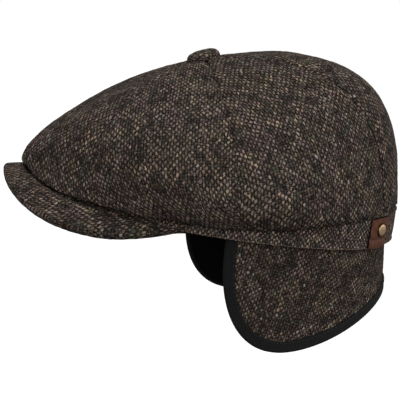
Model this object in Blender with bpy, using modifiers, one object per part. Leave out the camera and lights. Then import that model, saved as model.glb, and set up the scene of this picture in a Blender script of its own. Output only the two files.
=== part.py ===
"""An eight-panel tweed cap with a visor and a drop-down ear and nape flap.

The frame is the wearer's: +X is the left side, -Y the front, +Z up. The origin is the centre of the
head opening, level with the band's lower edge at the sides and back. Turns run round the head in
radians, from 0 at the front through the wearer's left to pi at the back.
"""

import math
from collections import namedtuple

import bmesh
import bpy
from mathutils import Vector

# Band, in metres as all sizes here
BAND_HALF_LENGTH = 0.104
BAND_HALF_WIDTH = 0.088
BAND_HEIGHT = 0.025
BAND_WALL = 0.0025
BAND_EDGE_RADIUS = 0.0008
BAND_FRONT_RISE = 0.0195
BAND_RISE_POINT = 1.75

# Crown
CLOTH_THICKNESS = 0.0014
CROWN_FRONT_OVERHANG = 0.043
BUTTON_SEAT_HEIGHT = 0.102
BUTTON_SEAT_FORWARD = 0.0385
BUTTON_SEAT_LEAN = math.radians(18.3)
CROWN_DOME_SLOPE = 0.01
CREASE_DROP_AT_BACK = 0.0025
CREASE_LEVEL_TURN = math.radians(152)
CURL_PULL = 0.55
PANEL_PUFF = 0.0008
PANEL_PUFF_POINT = 0.7
PANEL_PUFF_END = 1.8
PANEL_TIP_RADIUS = 0.003
HEM_TUCK = 0.003
HEM_LIFT = 0.001
HEM_UPRIGHT_TURN = math.radians(138)

# Button
BUTTON_RADIUS = 0.0110
BUTTON_HEIGHT = 0.0068

# Visor
VISOR_PROJECTION = 0.0534
VISOR_THICKNESS = 0.0055
VISOR_TIP_HEIGHT = 0.0137
VISOR_SIDE_DIP = 0.036
VISOR_DIP_POINT = 1.8
VISOR_TURN = math.radians(65.3)
VISOR_SQUARENESS = 2.7
VISOR_FRONT_POINT = 0.536
VISOR_UPRIGHT_REACH = 0.006
VISOR_END = 0.975

# Ear and nape flap
FLAP_CLOTH = 0.0012
FLEECE_THICKNESS = 0.0015
FLAP_DROP = 0.0665
NAPE_DROP = 0.031
FLAP_TUCK_HEIGHT = 0.014
FLAP_FRONT_TURN = math.radians(76.2)
FLAP_LOWEST_TURN = math.radians(97)
FLAP_CORNER_POINT = 1.01
FLAP_STRAIGHT_SHARE = 0.1
FLAP_CORNER_SHARE = 0.52
NAPE_RISE_POINT = 0.87
FLAP_FLARE = 0.007
FLAP_FLARE_AT_SIDE = 0.3
TAPE_WIDTH = 0.0075
TAPE_THICKNESS = 0.0008
TAPE_START = 0.05

# Leather tab and stud
TAB_WIDTH = 0.0214
TAB_THICKNESS = 0.0014
TAB_TURN = math.radians(139.9)
STUD_RADIUS = 0.0048
STUD_HEIGHT = 0.0013
STUD_HEIGHT_ON_BAND = 0.0125
STUD_TURN = math.radians(141.4)

# Fits
GAP = 0.0003
SEAM_GAP = 0.0005
CROWN_GAP = 0.0006

# Fineness of the faceted surfaces
PANEL_COLUMNS = 6
DOME_ROWS = 12
CURL_ROWS = 4
TUCK_ROWS = 2
BAND_SECTIONS = 48
VISOR_SECTIONS = 26
TAPE_SECTIONS = 22
FLAP_ROWS = 8
FLAP_COLUMNS = 14
FLAP_CORNER_AT = 0.33
TAB_COLUMNS = 6

# One row for each seam of the crown, from the front to the back. turn and overhang place its widest
# point, in degrees round the band and as a share of the crown's front overhang, and wide_height is a
# share of the button seat's height. top_pull and side_pull say how full the seam is near the button
# and near its widest point, and lean how far it tips inward there. crease_turn is where the seam ends
# on the band, in degrees.
Seam = namedtuple("Seam", "name turn overhang wide_height top_pull side_pull lean crease_turn")
SEAMS = (
    Seam("front", 0.0, 1.00, 0.215, 0.44, 0.23, 0.0, 0.0),
    Seam("front corner", 31.4, 0.452, 0.340, 0.47, 0.53, 0.0, 41.0),
    Seam("side", 79.0, 0.328, 0.230, 0.48, 0.38, 0.0, 83.0),
    Seam("rear corner", 139.5, 0.054, 0.262, 0.76, 0.80, 0.06, 142.0),
    Seam("rear", 180.0, 0.050, 0.262, 0.78, 0.80, 0.085, 180.0),
)

# How far over the visor the crown reaches, as shares of the visor's width at its middle and corner
CROWN_ON_VISOR_MIDDLE = 0.76
CROWN_ON_VISOR_CORNER = 0.14

Finish = namedtuple("Finish", "color roughness metallic")
FINISHES = {
    "tweed": Finish((0.052, 0.041, 0.033), 0.95, 0.0),
    "black_fleece": Finish((0.006, 0.006, 0.006), 1.0, 0.0),
    "black_tape": Finish((0.010, 0.010, 0.011), 0.8, 0.0),
    "brown_leather": Finish((0.075, 0.031, 0.019), 0.6, 0.0),
    "brass": Finish((0.45, 0.33, 0.17), 0.35, 1.0),
}


def mix(a, b, share):
    return a + (b - a) * share


def ease(share):
    """0 to 1 with a level start and end."""
    share = min(max(share, 0.0), 1.0)
    return share * share * (3 - 2 * share)


def bezier(a, b, c, d, t):
    u = 1 - t
    return a * (u * u * u) + b * (3 * u * u * t) + c * (3 * u * t * t) + d * (t * t * t)


def even_series(values, angle):
    """Smooth and even in angle, through values at equal steps from 0 to pi."""
    last = len(values) - 1
    total = 0.0
    for k in range(last + 1):
        weight = sum(
            value * math.cos(math.pi * j * k / last) * (0.5 if j in (0, last) else 1.0)
            for j, value in enumerate(values)
        )
        total += weight * math.cos(k * angle) * (0.5 if k in (0, last) else 1.0)
    return total * 2 / last


def odd_series(values, angle):
    """Smooth and odd in angle, through values at equal steps from 0 to pi. The end values are 0."""
    last = len(values) - 1
    total = 0.0
    for k in range(1, last):
        weight = sum(
            values[j] * math.sin(math.pi * j * k / last) for j in range(1, last)
        )
        total += weight * math.sin(k * angle)
    return total * 2 / last


def band_point(turn, out, height):
    """A point out metres outside the band's oval."""
    return Vector(
        (
            (BAND_HALF_WIDTH + out) * math.sin(turn),
            -(BAND_HALF_LENGTH + out) * math.cos(turn),
            height,
        )
    )


def length_per_turn(turn):
    """Length along the band's oval for each radian of turn."""
    return math.hypot(BAND_HALF_WIDTH * math.cos(turn), BAND_HALF_LENGTH * math.sin(turn))


def visor_turn_share(turn):
    """The visor's own angle, which reaches a right angle at its corners."""
    return min(turn / VISOR_TURN, 1.0) * math.pi / 2


def band_low(turn):
    """Height of the band's lower edge, which rises over the arched visor."""
    return BAND_FRONT_RISE * max(math.cos(visor_turn_share(turn)), 0.0) ** BAND_RISE_POINT


def visor_root(fan):
    turn = fan / (math.pi / 2) * VISOR_TURN
    return band_point(turn, GAP, band_low(abs(turn)) + VISOR_THICKNESS / 2)


def visor_rim(fan):
    corner = visor_root(math.pi / 2)
    tip_y = -(BAND_HALF_LENGTH + VISOR_PROJECTION)
    across = math.sin(fan)
    along = max(1 - abs(across) ** VISOR_SQUARENESS, 0.0)
    return Vector(
        (
            corner.x * across,
            mix(corner.y, tip_y, along**VISOR_FRONT_POINT),
            mix(corner.z, VISOR_TIP_HEIGHT, along)
            - VISOR_SIDE_DIP * abs(across) ** VISOR_DIP_POINT * math.sqrt(along),
        )
    )


def visor_middle(fan, share):
    """The board's middle surface, from the band at share 0 to the rim at share 1."""
    return mix(visor_root(fan), visor_rim(fan), share)


def visor_surface(fan, share, above):
    """A point above the board's middle surface, upright at the band and square to it further out."""
    step = 0.001
    across = visor_middle(fan + step, share) - visor_middle(fan - step, share)
    along = visor_rim(fan) - visor_root(fan)
    square = along.cross(across).normalized()
    upright = Vector((0, 0, 1))
    blend = ease(share * along.length / VISOR_UPRIGHT_REACH)
    return visor_middle(fan, share) + mix(upright, square, blend).normalized() * above


def between_seams(values, theta):
    """An eased value between those of the two nearest seams."""
    place = theta / math.pi * (len(values) - 1)
    i = min(max(int(place), 0), len(values) - 2)
    return mix(values[i], values[i + 1], ease(place - i))


def turn_through(degrees, theta):
    """A turn round the band that passes through the given ones, one at each seam."""
    last = len(degrees) - 1
    drift = [math.radians(value) - math.pi * i / last for i, value in enumerate(degrees)]
    return theta + odd_series(drift, theta)


def crown_wide(theta):
    """The crown's widest point at this panel angle."""
    turn = turn_through([seam.turn for seam in SEAMS], theta)
    overhang = between_seams([seam.overhang for seam in SEAMS], abs(theta))
    height = even_series([seam.wide_height for seam in SEAMS], theta)
    return band_point(turn, overhang * CROWN_FRONT_OVERHANG, height * BUTTON_SEAT_HEIGHT)


def crease_turn(theta):
    """Where round the band the panel angle ends."""
    return turn_through([seam.crease_turn for seam in SEAMS], theta)


def crease_height(turn):
    """Height of the crown's lower edge on the band behind the visor."""
    corner = VISOR_THICKNESS + CROWN_GAP
    back = BAND_HEIGHT - CREASE_DROP_AT_BACK
    share = (turn - VISOR_TURN) / (CREASE_LEVEL_TURN - VISOR_TURN)
    return mix(corner, back, ease(share))


def crown_hem(theta):
    """The crown's lowest point and its hem on the band, on the cloth's outer side."""
    turn = crease_turn(theta)
    back = ease((turn - math.pi / 2) / (HEM_UPRIGHT_TURN - math.pi / 2))
    outward = band_point(turn, 1.0, 0.0) - band_point(turn, 0.0, 0.0)
    tuck = outward * (HEM_TUCK * (1 - back)) + Vector((0, 0, HEM_LIFT * back))
    if turn < VISOR_TURN:
        fan = visor_turn_share(turn)
        above = VISOR_THICKNESS / 2 + CROWN_GAP
        reach = mix(CROWN_ON_VISOR_CORNER, CROWN_ON_VISOR_MIDDLE, math.cos(fan) ** 2)
        hem = visor_surface(fan, 0.0, above)
        low = visor_surface(fan, reach, above) + tuck * math.sin(fan) ** 2
    else:
        hem = band_point(turn, CROWN_GAP + CLOTH_THICKNESS * back, crease_height(turn))
        low = hem + tuck
    return low, hem


def crown_point(theta, station):
    """The crown's outer side. Station 0 is the button, 1 the widest point, 2 the lowest, 3 the hem."""
    seat = Vector((0, -BUTTON_SEAT_FORWARD, BUTTON_SEAT_HEIGHT))
    wide = crown_wide(theta)
    low, hem = crown_hem(theta)
    if station <= 1:
        top_pull = even_series([seam.top_pull for seam in SEAMS], theta)
        side_pull = even_series([seam.side_pull for seam in SEAMS], theta)
        reach = (wide - seat).xy.length
        slope = CROWN_DOME_SLOPE + math.tan(BUTTON_SEAT_LEAN) * math.cos(theta)
        away = Vector((math.sin(theta), -math.cos(theta), -slope))
        lean = between_seams([seam.lean for seam in SEAMS], abs(theta))
        upward = Vector(
            (-wide.x * lean, (seat.y - wide.y) * lean, (seat.z - wide.z) * side_pull)
        )
        return bezier(seat, seat + away * (top_pull * reach), wide + upward, wide, station)
    if station <= 2:
        drop = wide.z - low.z
        inward = (wide - low).xy.length
        from_hem = (low - hem).normalized()
        return bezier(
            wide,
            wide - Vector((0, 0, CURL_PULL * drop)),
            low + from_hem * (CURL_PULL * inward),
            low,
            station - 1,
        )
    return mix(low, hem, station - 2)


def crown_stations(theta):
    """The rows of a panel, from its tip under the button to its hem."""
    seat = Vector((0, -BUTTON_SEAT_FORWARD, BUTTON_SEAT_HEIGHT))
    top_pull = even_series([seam.top_pull for seam in SEAMS], theta)
    first = PANEL_TIP_RADIUS / (3 * top_pull * (crown_wide(theta) - seat).xy.length)
    rows = [mix(first, 1.0, i / DOME_ROWS) for i in range(DOME_ROWS + 1)]
    rows += [1 + (i + 1) / CURL_ROWS for i in range(CURL_ROWS)]
    return rows + [2 + (i + 1) / TUCK_ROWS for i in range(TUCK_ROWS)]


def crown_frame(theta, station):
    """The directions across and out of the crown's outer side."""
    step = 0.002
    across = crown_point(theta + step, station) - crown_point(theta - step, station)
    above = crown_point(theta, max(station - step, 0.0))
    below = crown_point(theta, min(station + step, 3.0))
    across.normalize()
    return across, (below - above).cross(across).normalized()


def panel_sections(first_theta, last_theta):
    """Closed sections across one panel, from its tip to its hem, a little proud between its seams."""
    sections = []
    for station in crown_stations(mix(first_theta, last_theta, 0.5)):
        outer, inner = [], []
        for i in range(PANEL_COLUMNS + 1):
            share = i / PANEL_COLUMNS
            theta = mix(first_theta, last_theta, share)
            across, outward = crown_frame(theta, station)
            puff = PANEL_PUFF * math.sin(math.pi * share) ** PANEL_PUFF_POINT
            puff *= math.sin(math.pi * min(station / PANEL_PUFF_END, 1.0))
            aside = {0: SEAM_GAP / 2, PANEL_COLUMNS: -SEAM_GAP / 2}.get(i, 0.0)
            point = crown_point(theta, station) + across * aside + outward * puff
            outer.append(point)
            inner.append(point - outward * CLOTH_THICKNESS)
        sections.append(outer + inner[::-1])
    return sections


def mirrored(sections):
    """The same sections on the wearer's right."""
    return [[Vector((-p.x, p.y, p.z)) for p in section] for section in sections]


def flap_point(turn, height, out):
    """A point out metres outside the surface where the flap's two layers meet."""
    layers = BAND_WALL + GAP + TAPE_THICKNESS + GAP + FLAP_CLOTH + GAP / 2
    back = mix(FLAP_FLARE_AT_SIDE, 1.0, math.sin(min(turn, 2 * math.pi - turn) - math.pi / 2) ** 2)
    flare = FLAP_FLARE * back * max(-height, 0.0) / FLAP_DROP
    return band_point(turn, out + flare - layers, height)


def flap_edge(share):
    """Turn and height of the flap's free edge, from its front end at share 0 to the nape at 1."""
    if share < FLAP_STRAIGHT_SHARE:
        return FLAP_FRONT_TURN, mix(FLAP_TUCK_HEIGHT, 0.0, share / FLAP_STRAIGHT_SHARE)
    if share < FLAP_CORNER_SHARE:
        along = (share - FLAP_STRAIGHT_SHARE) / (FLAP_CORNER_SHARE - FLAP_STRAIGHT_SHARE)
        angle = along * math.pi / 2
        turn = mix(
            FLAP_LOWEST_TURN, FLAP_FRONT_TURN, math.cos(angle) ** FLAP_CORNER_POINT
        )
        return turn, -FLAP_DROP * math.sin(angle) ** FLAP_CORNER_POINT
    along = (share - FLAP_CORNER_SHARE) / (1 - FLAP_CORNER_SHARE)
    rise = 0.5 - 0.5 * math.cos(math.pi * along**NAPE_RISE_POINT)
    return mix(FLAP_LOWEST_TURN, math.pi, along), -mix(FLAP_DROP, NAPE_DROP, rise)


def inside_edge(share, inset):
    """Turn and height of a point inset metres inside the flap's free edge, along the flap."""
    step = 0.002
    before = flap_edge(max(share - step, 0.0))
    after = flap_edge(min(share + step, 1.0))
    turn, height = flap_edge(share)
    per_turn = length_per_turn(turn)
    run = (after[0] - before[0]) * per_turn
    rise = after[1] - before[1]
    if share >= 1.0:
        rise = 0.0
    length = math.hypot(run, rise)
    return turn - inset * rise / length / per_turn, height + inset * run / length


def flap_grid(out):
    """Rows of points over the whole flap, filled in between its four sides on the left half."""
    inset = TAPE_THICKNESS + GAP

    def side(share):
        return Vector(inside_edge(share, inset))

    def patch(u, v):
        top_left, bottom_left = side(0.0), side(FLAP_CORNER_AT)
        bottom_right = side(1.0)
        top_left.y = FLAP_TUCK_HEIGHT
        top_right = Vector((math.pi, FLAP_TUCK_HEIGHT))
        left = side(FLAP_CORNER_AT * v)
        left.y = min(left.y, FLAP_TUCK_HEIGHT)
        right = mix(top_right, bottom_right, v)
        top = mix(top_left, top_right, u)
        bottom = side(mix(FLAP_CORNER_AT, 1.0, u))
        corners = mix(mix(top_left, top_right, u), mix(bottom_left, bottom_right, u), v)
        return mix(left, right, u) + mix(top, bottom, v) - corners

    grid = []
    for i in range(FLAP_ROWS + 1):
        v = i / FLAP_ROWS
        left_half = [patch(j / FLAP_COLUMNS, v) for j in range(FLAP_COLUMNS + 1)]
        right_half = [Vector((2 * math.pi - p.x, p.y)) for p in reversed(left_half[:-1])]
        grid.append([flap_point(p.x, p.y, out) for p in left_half + right_half])
    return grid


def binding_sections():
    """U-shaped sections of the tape that wraps the flap's edge, from one front end to the other."""
    outer_slot = FLAP_CLOTH + GAP / 2 + GAP
    inner_slot = -(FLEECE_THICKNESS + GAP / 2 + GAP)
    outer = outer_slot + TAPE_THICKNESS
    inner = inner_slot - TAPE_THICKNESS
    middle = (outer + inner) / 2
    profile = (
        (TAPE_WIDTH, outer_slot),
        (TAPE_WIDTH, outer),
        (0.0012, outer),
        (0.0003, mix(middle, outer, 0.6)),
        (0.0, middle),
        (0.0003, mix(middle, inner, 0.6)),
        (0.0012, inner),
        (TAPE_WIDTH, inner),
        (TAPE_WIDTH, inner_slot),
        (TAPE_THICKNESS, inner_slot),
        (TAPE_THICKNESS, outer_slot),
    )
    sections = []
    for i in range(TAPE_SECTIONS + 1):
        share = mix(TAPE_START, 1.0, i / TAPE_SECTIONS)
        section = []
        for inset, out in profile:
            turn, height = inside_edge(share, inset)
            section.append(flap_point(turn, height, out))
        sections.append(section)
    for section in reversed(sections[:-1]):
        sections.append([Vector((-p.x, p.y, p.z)) for p in section])
    return sections


def visor_sections():
    """Closed sections across the board, round at its rim, from one corner to the other."""
    sections = []
    half = VISOR_THICKNESS / 2
    for i in range(VISOR_SECTIONS + 1):
        fan = mix(-VISOR_END, VISOR_END, i / VISOR_SECTIONS) * math.pi / 2
        width = (visor_rim(fan) - visor_root(fan)).length
        round_share = min(half, width / 2) / width
        profile = [(share * (1 - round_share), half) for share in (0.0, 0.33, 0.67, 1.0)]
        for degrees in (35, 65, 90, 115, 145):
            angle = math.radians(degrees)
            share = 1 - round_share * (1 - math.sin(angle))
            profile.append((share, half * math.cos(angle)))
        profile += [(share * (1 - round_share), -half) for share in (1.0, 0.67, 0.33, 0.0)]
        sections.append([visor_surface(fan, share, above) for share, above in profile])
    return sections


def band_sections():
    """Closed sections round the band, with softened edges."""
    soft = BAND_EDGE_RADIUS
    sections = []
    for i in range(BAND_SECTIONS):
        turn = 2 * math.pi * i / BAND_SECTIONS
        low = band_low(min(turn, 2 * math.pi - turn))
        high = low + BAND_HEIGHT
        profile = (
            (-soft, low),
            (-0.3 * soft, low + 0.3 * soft),
            (0.0, low + soft),
            (0.0, high - soft),
            (-soft, high),
            (soft - BAND_WALL, high),
            (-BAND_WALL, high - soft),
            (-BAND_WALL, low + soft),
            (soft - BAND_WALL, low),
        )
        sections.append([band_point(turn, out, height) for out, height in profile])
    return sections


def tab_grid():
    """The leather strip on the band, whose lower end turns under the band's edge."""
    half_turn = TAB_WIDTH / 2 / length_per_turn(TAB_TURN)
    turns = [
        TAB_TURN + mix(-half_turn, half_turn, i / TAB_COLUMNS) for i in range(TAB_COLUMNS + 1)
    ]
    grid = []
    for share in (1.0, 0.67, 0.34, 0.1):
        grid.append(
            [
                band_point(t, GAP, share * (crease_height(t) - TAB_THICKNESS / 2))
                for t in turns
            ]
        )
    soft = BAND_EDGE_RADIUS
    grid.append([band_point(t, GAP, soft) for t in turns])
    grid.append([band_point(t, -0.2 * soft, -0.4 * GAP) for t in turns])
    grid.append([band_point(t, -1.3 * soft, -GAP) for t in turns])
    return grid


def add_object(name, mesh, finish):
    obj = bpy.data.objects.new(name, mesh)
    bpy.data.collections["earflap_cap"].objects.link(obj)
    obj.parent = bpy.data.objects["cap_centre"]
    mesh.materials.append(bpy.data.materials[finish])
    mesh.shade_smooth()
    mesh.set_sharp_from_angle(angle=math.radians(50))
    return obj


def add_cloth(name, grid, thickness, finish, outward=False):
    """An open surface through a grid of points, made a wall by Solidify."""
    shape = bmesh.new()
    rows = [[shape.verts.new(point) for point in row] for row in grid]
    for upper, lower in zip(rows, rows[1:]):
        for j in range(len(upper) - 1):
            shape.faces.new((upper[j], lower[j], lower[j + 1], upper[j + 1]))
    mesh = bpy.data.meshes.new(name)
    shape.to_mesh(mesh)
    shape.free()
    obj = add_object(name, mesh, finish)
    wall = obj.modifiers.new("wall", "SOLIDIFY")
    wall.thickness = thickness
    wall.offset = 1.0 if outward else -1.0
    wall.use_even_offset = True
    return obj


def add_loft(name, sections, finish, closed=False, strip=False):
    """A solid through closed sections, joined into a ring or capped at its ends.

    A strip's sections are a row of points and the same row back, and its caps are filled in pairs.
    """
    shape = bmesh.new()
    rings = [[shape.verts.new(point) for point in section] for section in sections]
    pairs = list(zip(rings, rings[1:]))
    if closed:
        pairs.append((rings[-1], rings[0]))
    elif strip:
        for ring in (rings[0], rings[-1]):
            for j in range(len(ring) // 2 - 1):
                shape.faces.new((ring[j], ring[j + 1], ring[-2 - j], ring[-1 - j]))
    else:
        shape.faces.new(rings[0])
        shape.faces.new(reversed(rings[-1]))
    for first, second in pairs:
        for j in range(len(first)):
            k = (j + 1) % len(first)
            shape.faces.new((first[j], second[j], second[k], first[k]))
    bmesh.ops.recalc_face_normals(shape, faces=shape.faces)
    mesh = bpy.data.meshes.new(name)
    shape.to_mesh(mesh)
    shape.free()
    return add_object(name, mesh, finish)


def add_turned(name, profile, steps, finish):
    """A solid turned about its own Z from a profile that runs down its outer side."""
    shape = bmesh.new()
    points = [shape.verts.new((radius, 0, height)) for radius, height in profile]
    for first, second in zip(points, points[1:]):
        shape.edges.new((first, second))
    mesh = bpy.data.meshes.new(name)
    shape.to_mesh(mesh)
    shape.free()
    obj = add_object(name, mesh, finish)
    screw = obj.modifiers.new("turn", "SCREW")
    screw.steps = screw.render_steps = steps
    screw.use_merge_vertices = True
    screw.merge_threshold = 0.00001
    return obj


def clear_scene():
    for obj in list(bpy.data.objects):
        bpy.data.objects.remove(obj)


def add_finishes():
    for name, finish in FINISHES.items():
        material = bpy.data.materials.new(name)
        material.use_nodes = True
        shader = material.node_tree.nodes["Principled BSDF"]
        shader.inputs["Base Color"].default_value = (*finish.color, 1.0)
        shader.inputs["Roughness"].default_value = finish.roughness
        shader.inputs["Metallic"].default_value = finish.metallic


def build_crown():
    panels = len(SEAMS) - 1
    for i in range(panels):
        sections = panel_sections(math.pi * i / panels, math.pi * (i + 1) / panels)
        add_loft(f"crown_panel_left_{i + 1}", sections, "tweed", strip=True)
        add_loft(f"crown_panel_right_{i + 1}", mirrored(sections), "tweed", strip=True)


def build_button():
    dome = (
        (0.0, 1.0),
        (0.3, 0.97),
        (0.58, 0.87),
        (0.8, 0.7),
        (0.94, 0.47),
        (1.0, 0.24),
        (0.96, 0.07),
        (0.88, 0.0),
        (0.0, 0.0),
    )
    profile = [(r * BUTTON_RADIUS, h * BUTTON_HEIGHT) for r, h in dome]
    button = add_turned("top_button", profile, 20, "tweed")
    lean = Vector((0, -math.sin(BUTTON_SEAT_LEAN), math.cos(BUTTON_SEAT_LEAN)))
    seat = Vector((0, -BUTTON_SEAT_FORWARD, BUTTON_SEAT_HEIGHT))
    button.location = seat + lean * GAP
    button.rotation_euler = (BUTTON_SEAT_LEAN, 0, 0)


def build_flap():
    add_cloth("earflap_outer", flap_grid(GAP / 2), FLAP_CLOTH, "tweed", outward=True)
    add_cloth("earflap_lining", flap_grid(-GAP / 2), FLEECE_THICKNESS, "black_fleece")
    add_loft("earflap_binding", binding_sections(), "black_tape")


def build_tab():
    add_cloth("leather_tab", tab_grid(), TAB_THICKNESS, "brown_leather", outward=True)
    cap = (
        (0.0, 1.0),
        (0.5, 0.92),
        (0.8, 0.68),
        (0.86, 0.42),
        (0.92, 0.46),
        (1.0, 0.25),
        (1.0, 0.0),
        (0.0, 0.0),
    )
    profile = [(r * STUD_RADIUS, h * STUD_HEIGHT) for r, h in cap]
    stud = add_turned("tab_stud", profile, 16, "brass")
    outward = Vector(
        (
            BAND_HALF_LENGTH * math.sin(STUD_TURN),
            -BAND_HALF_WIDTH * math.cos(STUD_TURN),
            0,
        )
    ).normalized()
    seat = band_point(STUD_TURN, 2 * GAP + TAB_THICKNESS, STUD_HEIGHT_ON_BAND)
    stud.location = seat
    stud.rotation_euler = outward.to_track_quat("Z", "Y").to_euler()


def main():
    clear_scene()
    collection = bpy.data.collections.new("earflap_cap")
    bpy.context.scene.collection.children.link(collection)
    collection.objects.link(bpy.data.objects.new("cap_centre", None))
    add_finishes()
    add_loft("head_band", band_sections(), "tweed", closed=True)
    add_loft("visor", visor_sections(), "tweed")
    build_crown()
    build_button()
    build_flap()
    build_tab()


main()
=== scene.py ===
"""Dresses the eight-panel tweed cap: fine cloth over each of its solids, and a plain studio stage.

The frame is the wearer's, in metres: +X is the left side, -Y the front, +Z up. Turns run round the
head in radians, from 0 at the front through the wearer's left to pi at the back.
"""

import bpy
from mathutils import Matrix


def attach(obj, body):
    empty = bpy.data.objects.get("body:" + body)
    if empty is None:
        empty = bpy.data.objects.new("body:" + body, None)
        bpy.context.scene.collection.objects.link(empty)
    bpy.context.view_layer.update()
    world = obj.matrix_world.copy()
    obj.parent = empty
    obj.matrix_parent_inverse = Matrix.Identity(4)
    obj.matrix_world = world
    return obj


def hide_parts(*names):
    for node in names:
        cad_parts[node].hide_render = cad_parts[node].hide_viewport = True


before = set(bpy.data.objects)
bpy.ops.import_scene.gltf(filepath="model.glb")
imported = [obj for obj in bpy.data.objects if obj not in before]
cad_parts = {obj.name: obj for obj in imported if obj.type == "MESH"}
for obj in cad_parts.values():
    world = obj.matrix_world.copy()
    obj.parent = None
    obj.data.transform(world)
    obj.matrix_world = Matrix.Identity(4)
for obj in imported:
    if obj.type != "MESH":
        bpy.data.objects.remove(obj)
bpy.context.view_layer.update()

import math
from collections import namedtuple

import bmesh
import bpy
import numpy as np
from bpy.props import FloatProperty, FloatVectorProperty, PointerProperty
from mathutils import Matrix, Vector, noise

bl_info = {
    "name": "Tweed earflap cap",
    "version": (1, 0, 0),
    "blender": (4, 5, 0),
    "location": "View3D > Sidebar > Earflap cap",
    "description": "Builds the cloth, fleece, tape, leather and brass of an eight-panel earflap cap",
    "category": "Object",
}

# Band, with the same sizes as the solids
BAND_HALF_LENGTH = 0.104
BAND_HALF_WIDTH = 0.088
BAND_HEIGHT = 0.025
BAND_WALL = 0.0025
BAND_FRONT_RISE = 0.0195
BAND_RISE_POINT = 1.75

# Crown
CLOTH_THICKNESS = 0.0014
CROWN_FRONT_OVERHANG = 0.043
BUTTON_SEAT_HEIGHT = 0.102
BUTTON_SEAT_FORWARD = 0.0385
BUTTON_SEAT_LEAN = math.radians(18.3)
CROWN_DOME_SLOPE = 0.01
CREASE_DROP_AT_BACK = 0.0025
CREASE_LEVEL_TURN = math.radians(152)
CURL_PULL = 0.55
CURL_PULL_REAR = 0.42
PANEL_PUFF = 0.0008
PANEL_PUFF_POINT = 0.7
PANEL_PUFF_END = 1.8
PANEL_TIP_RADIUS = 0.003
HEM_TUCK = 0.003
HEM_LIFT = 0.001
HEM_UPRIGHT_TURN = math.radians(138)

# Button
BUTTON_RADIUS = 0.0110
BUTTON_HEIGHT = 0.0068
BUTTON_PROFILE = (
    (0.0, 1.0), (0.35, 0.985), (0.6, 0.93), (0.8, 0.81), (0.93, 0.6), (1.0, 0.32),
    (0.99, 0.08), (0.95, 0.0), (0.0, 0.0),
)
BUTTON_PLEATS = 7
BUTTON_PLEAT_DEPTH = 0.03
BUTTON_PLEAT_START = 0.3
BUTTON_NAP = 1.6
BUTTON_NAP_SIZE = 0.0026

# Visor
VISOR_PROJECTION = 0.0534
VISOR_THICKNESS = 0.0055
VISOR_TIP_HEIGHT = 0.0137
VISOR_SIDE_DIP = 0.036
VISOR_DIP_POINT = 1.8
VISOR_TURN = math.radians(65.3)
VISOR_SQUARENESS = 2.7
VISOR_FRONT_POINT = 0.536
VISOR_UPRIGHT_REACH = 0.006
VISOR_END = 0.975

# Ear and nape flap
FLAP_CLOTH = 0.0012
FLEECE_THICKNESS = 0.0015
FLAP_DROP = 0.0666
NAPE_DROP = 0.0300
FLAP_TUCK_HEIGHT = 0.014
FLAP_FRONT_TURN = math.radians(77.1)
FLAP_LOWEST_TURN = math.radians(101)
FLAP_CORNER_POINT = 0.86
FLAP_STRAIGHT_SHARE = 0.1
FLAP_CORNER_SHARE = 0.52
FLAP_CORNER_AT = 0.33
NAPE_RISE_POINT = 0.82
FLAP_FLARE = 0.0085
FLAP_FLARE_AT_SIDE = 0.3
TAPE_WIDTH = 0.0075
TAPE_THICKNESS = 0.0008
TAPE_START = 0.05

# Leather tab and stud
TAB_WIDTH = 0.0214
TAB_THICKNESS = 0.0014
TAB_TURN = math.radians(139.9)
STUD_RADIUS = 0.0045
STUD_HEIGHT = 0.0013
STUD_HEIGHT_ON_BAND = 0.0133
STUD_TURN = math.radians(139.2)
STUD_TOWARD_SIDE = math.radians(8)
STUD_RELIEF = 1.3
STUD_PROFILE = (
    (0.0, 0.80), (0.35, 0.79), (0.6, 0.74), (0.74, 0.66), (0.79, 0.52), (0.82, 0.46),
    (0.86, 0.5), (0.9, 0.62), (0.94, 0.62), (1.0, 0.4), (1.0, 0.0), (0.0, 0.0),
)

# What the cloth does beyond the solids follows, piece by piece.

# Crown panels: trimmed at the back, sunk and gathered at the seams, softly uneven all over
CROWN_REAR_TRIM = 0.0038
REAR_TRIM_START = 2.0
REAR_TRIM_SPREAD = 1.1
# Share of the trim at each row of the crown: 0 is the button, 1 the widest point, 3 the hem
REAR_TRIM_ROWS = (
    (0.3, 0.0), (0.7, 0.25), (0.9, 0.8), (1.2, 1.1), (1.6, 1.1), (2.0, 0.95), (3.0, 0.85),
)
INNER_TRIM_ROW = 1.1
INNER_TRIM_SPREAD = 0.6
SEAM_SHARPNESS = 1.3
GATHER_LENGTH = 0.0016
GATHER_DRIFT = 2.2
GATHER_PATCH = 0.012
GATHER_START = 0.0012
GATHER_REACH = 0.003
SOFT_SIZE = 0.03
SOFT_SMALL_SIZE = 0.011
SOFT_SMALL_SHARE = 0.4
NAP_SIZE = 0.0024

# Visor: fuller toward its rim, lifted at its corners and a little lower beside them
VISOR_FULLNESS = 0.0005
VISOR_FULLNESS_START = 0.4
VISOR_FULLNESS_SPREAD = 0.4
VISOR_CORNER_LIFT = 0.0009
VISOR_SIDE_DROP = 0.0004
VISOR_CORNER_WIDTH = 0.05
VISOR_SIDE_PLACE = 0.93
VISOR_SIDE_WIDTH = 0.08
VISOR_SOFTNESS = 0.35
VISOR_SOFT_SIZE = 0.016

# Band: its lower edge rises at the back and stands out in a small lip
BAND_REAR_RISE = 0.0026
BAND_REAR_RISE_START = math.radians(120)
BAND_REAR_RISE_SPREAD = math.radians(45)
BAND_EDGE_RADIUS = 0.0010
BAND_PUFF = 0.0005
BAND_SOFTNESS = 0.5
BAND_SOFT_SIZE = 0.02
BAND_LIP = 0.0005
BAND_LIP_HEIGHT = 0.0012
BAND_LIP_WIDTH = 0.0008

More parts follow.
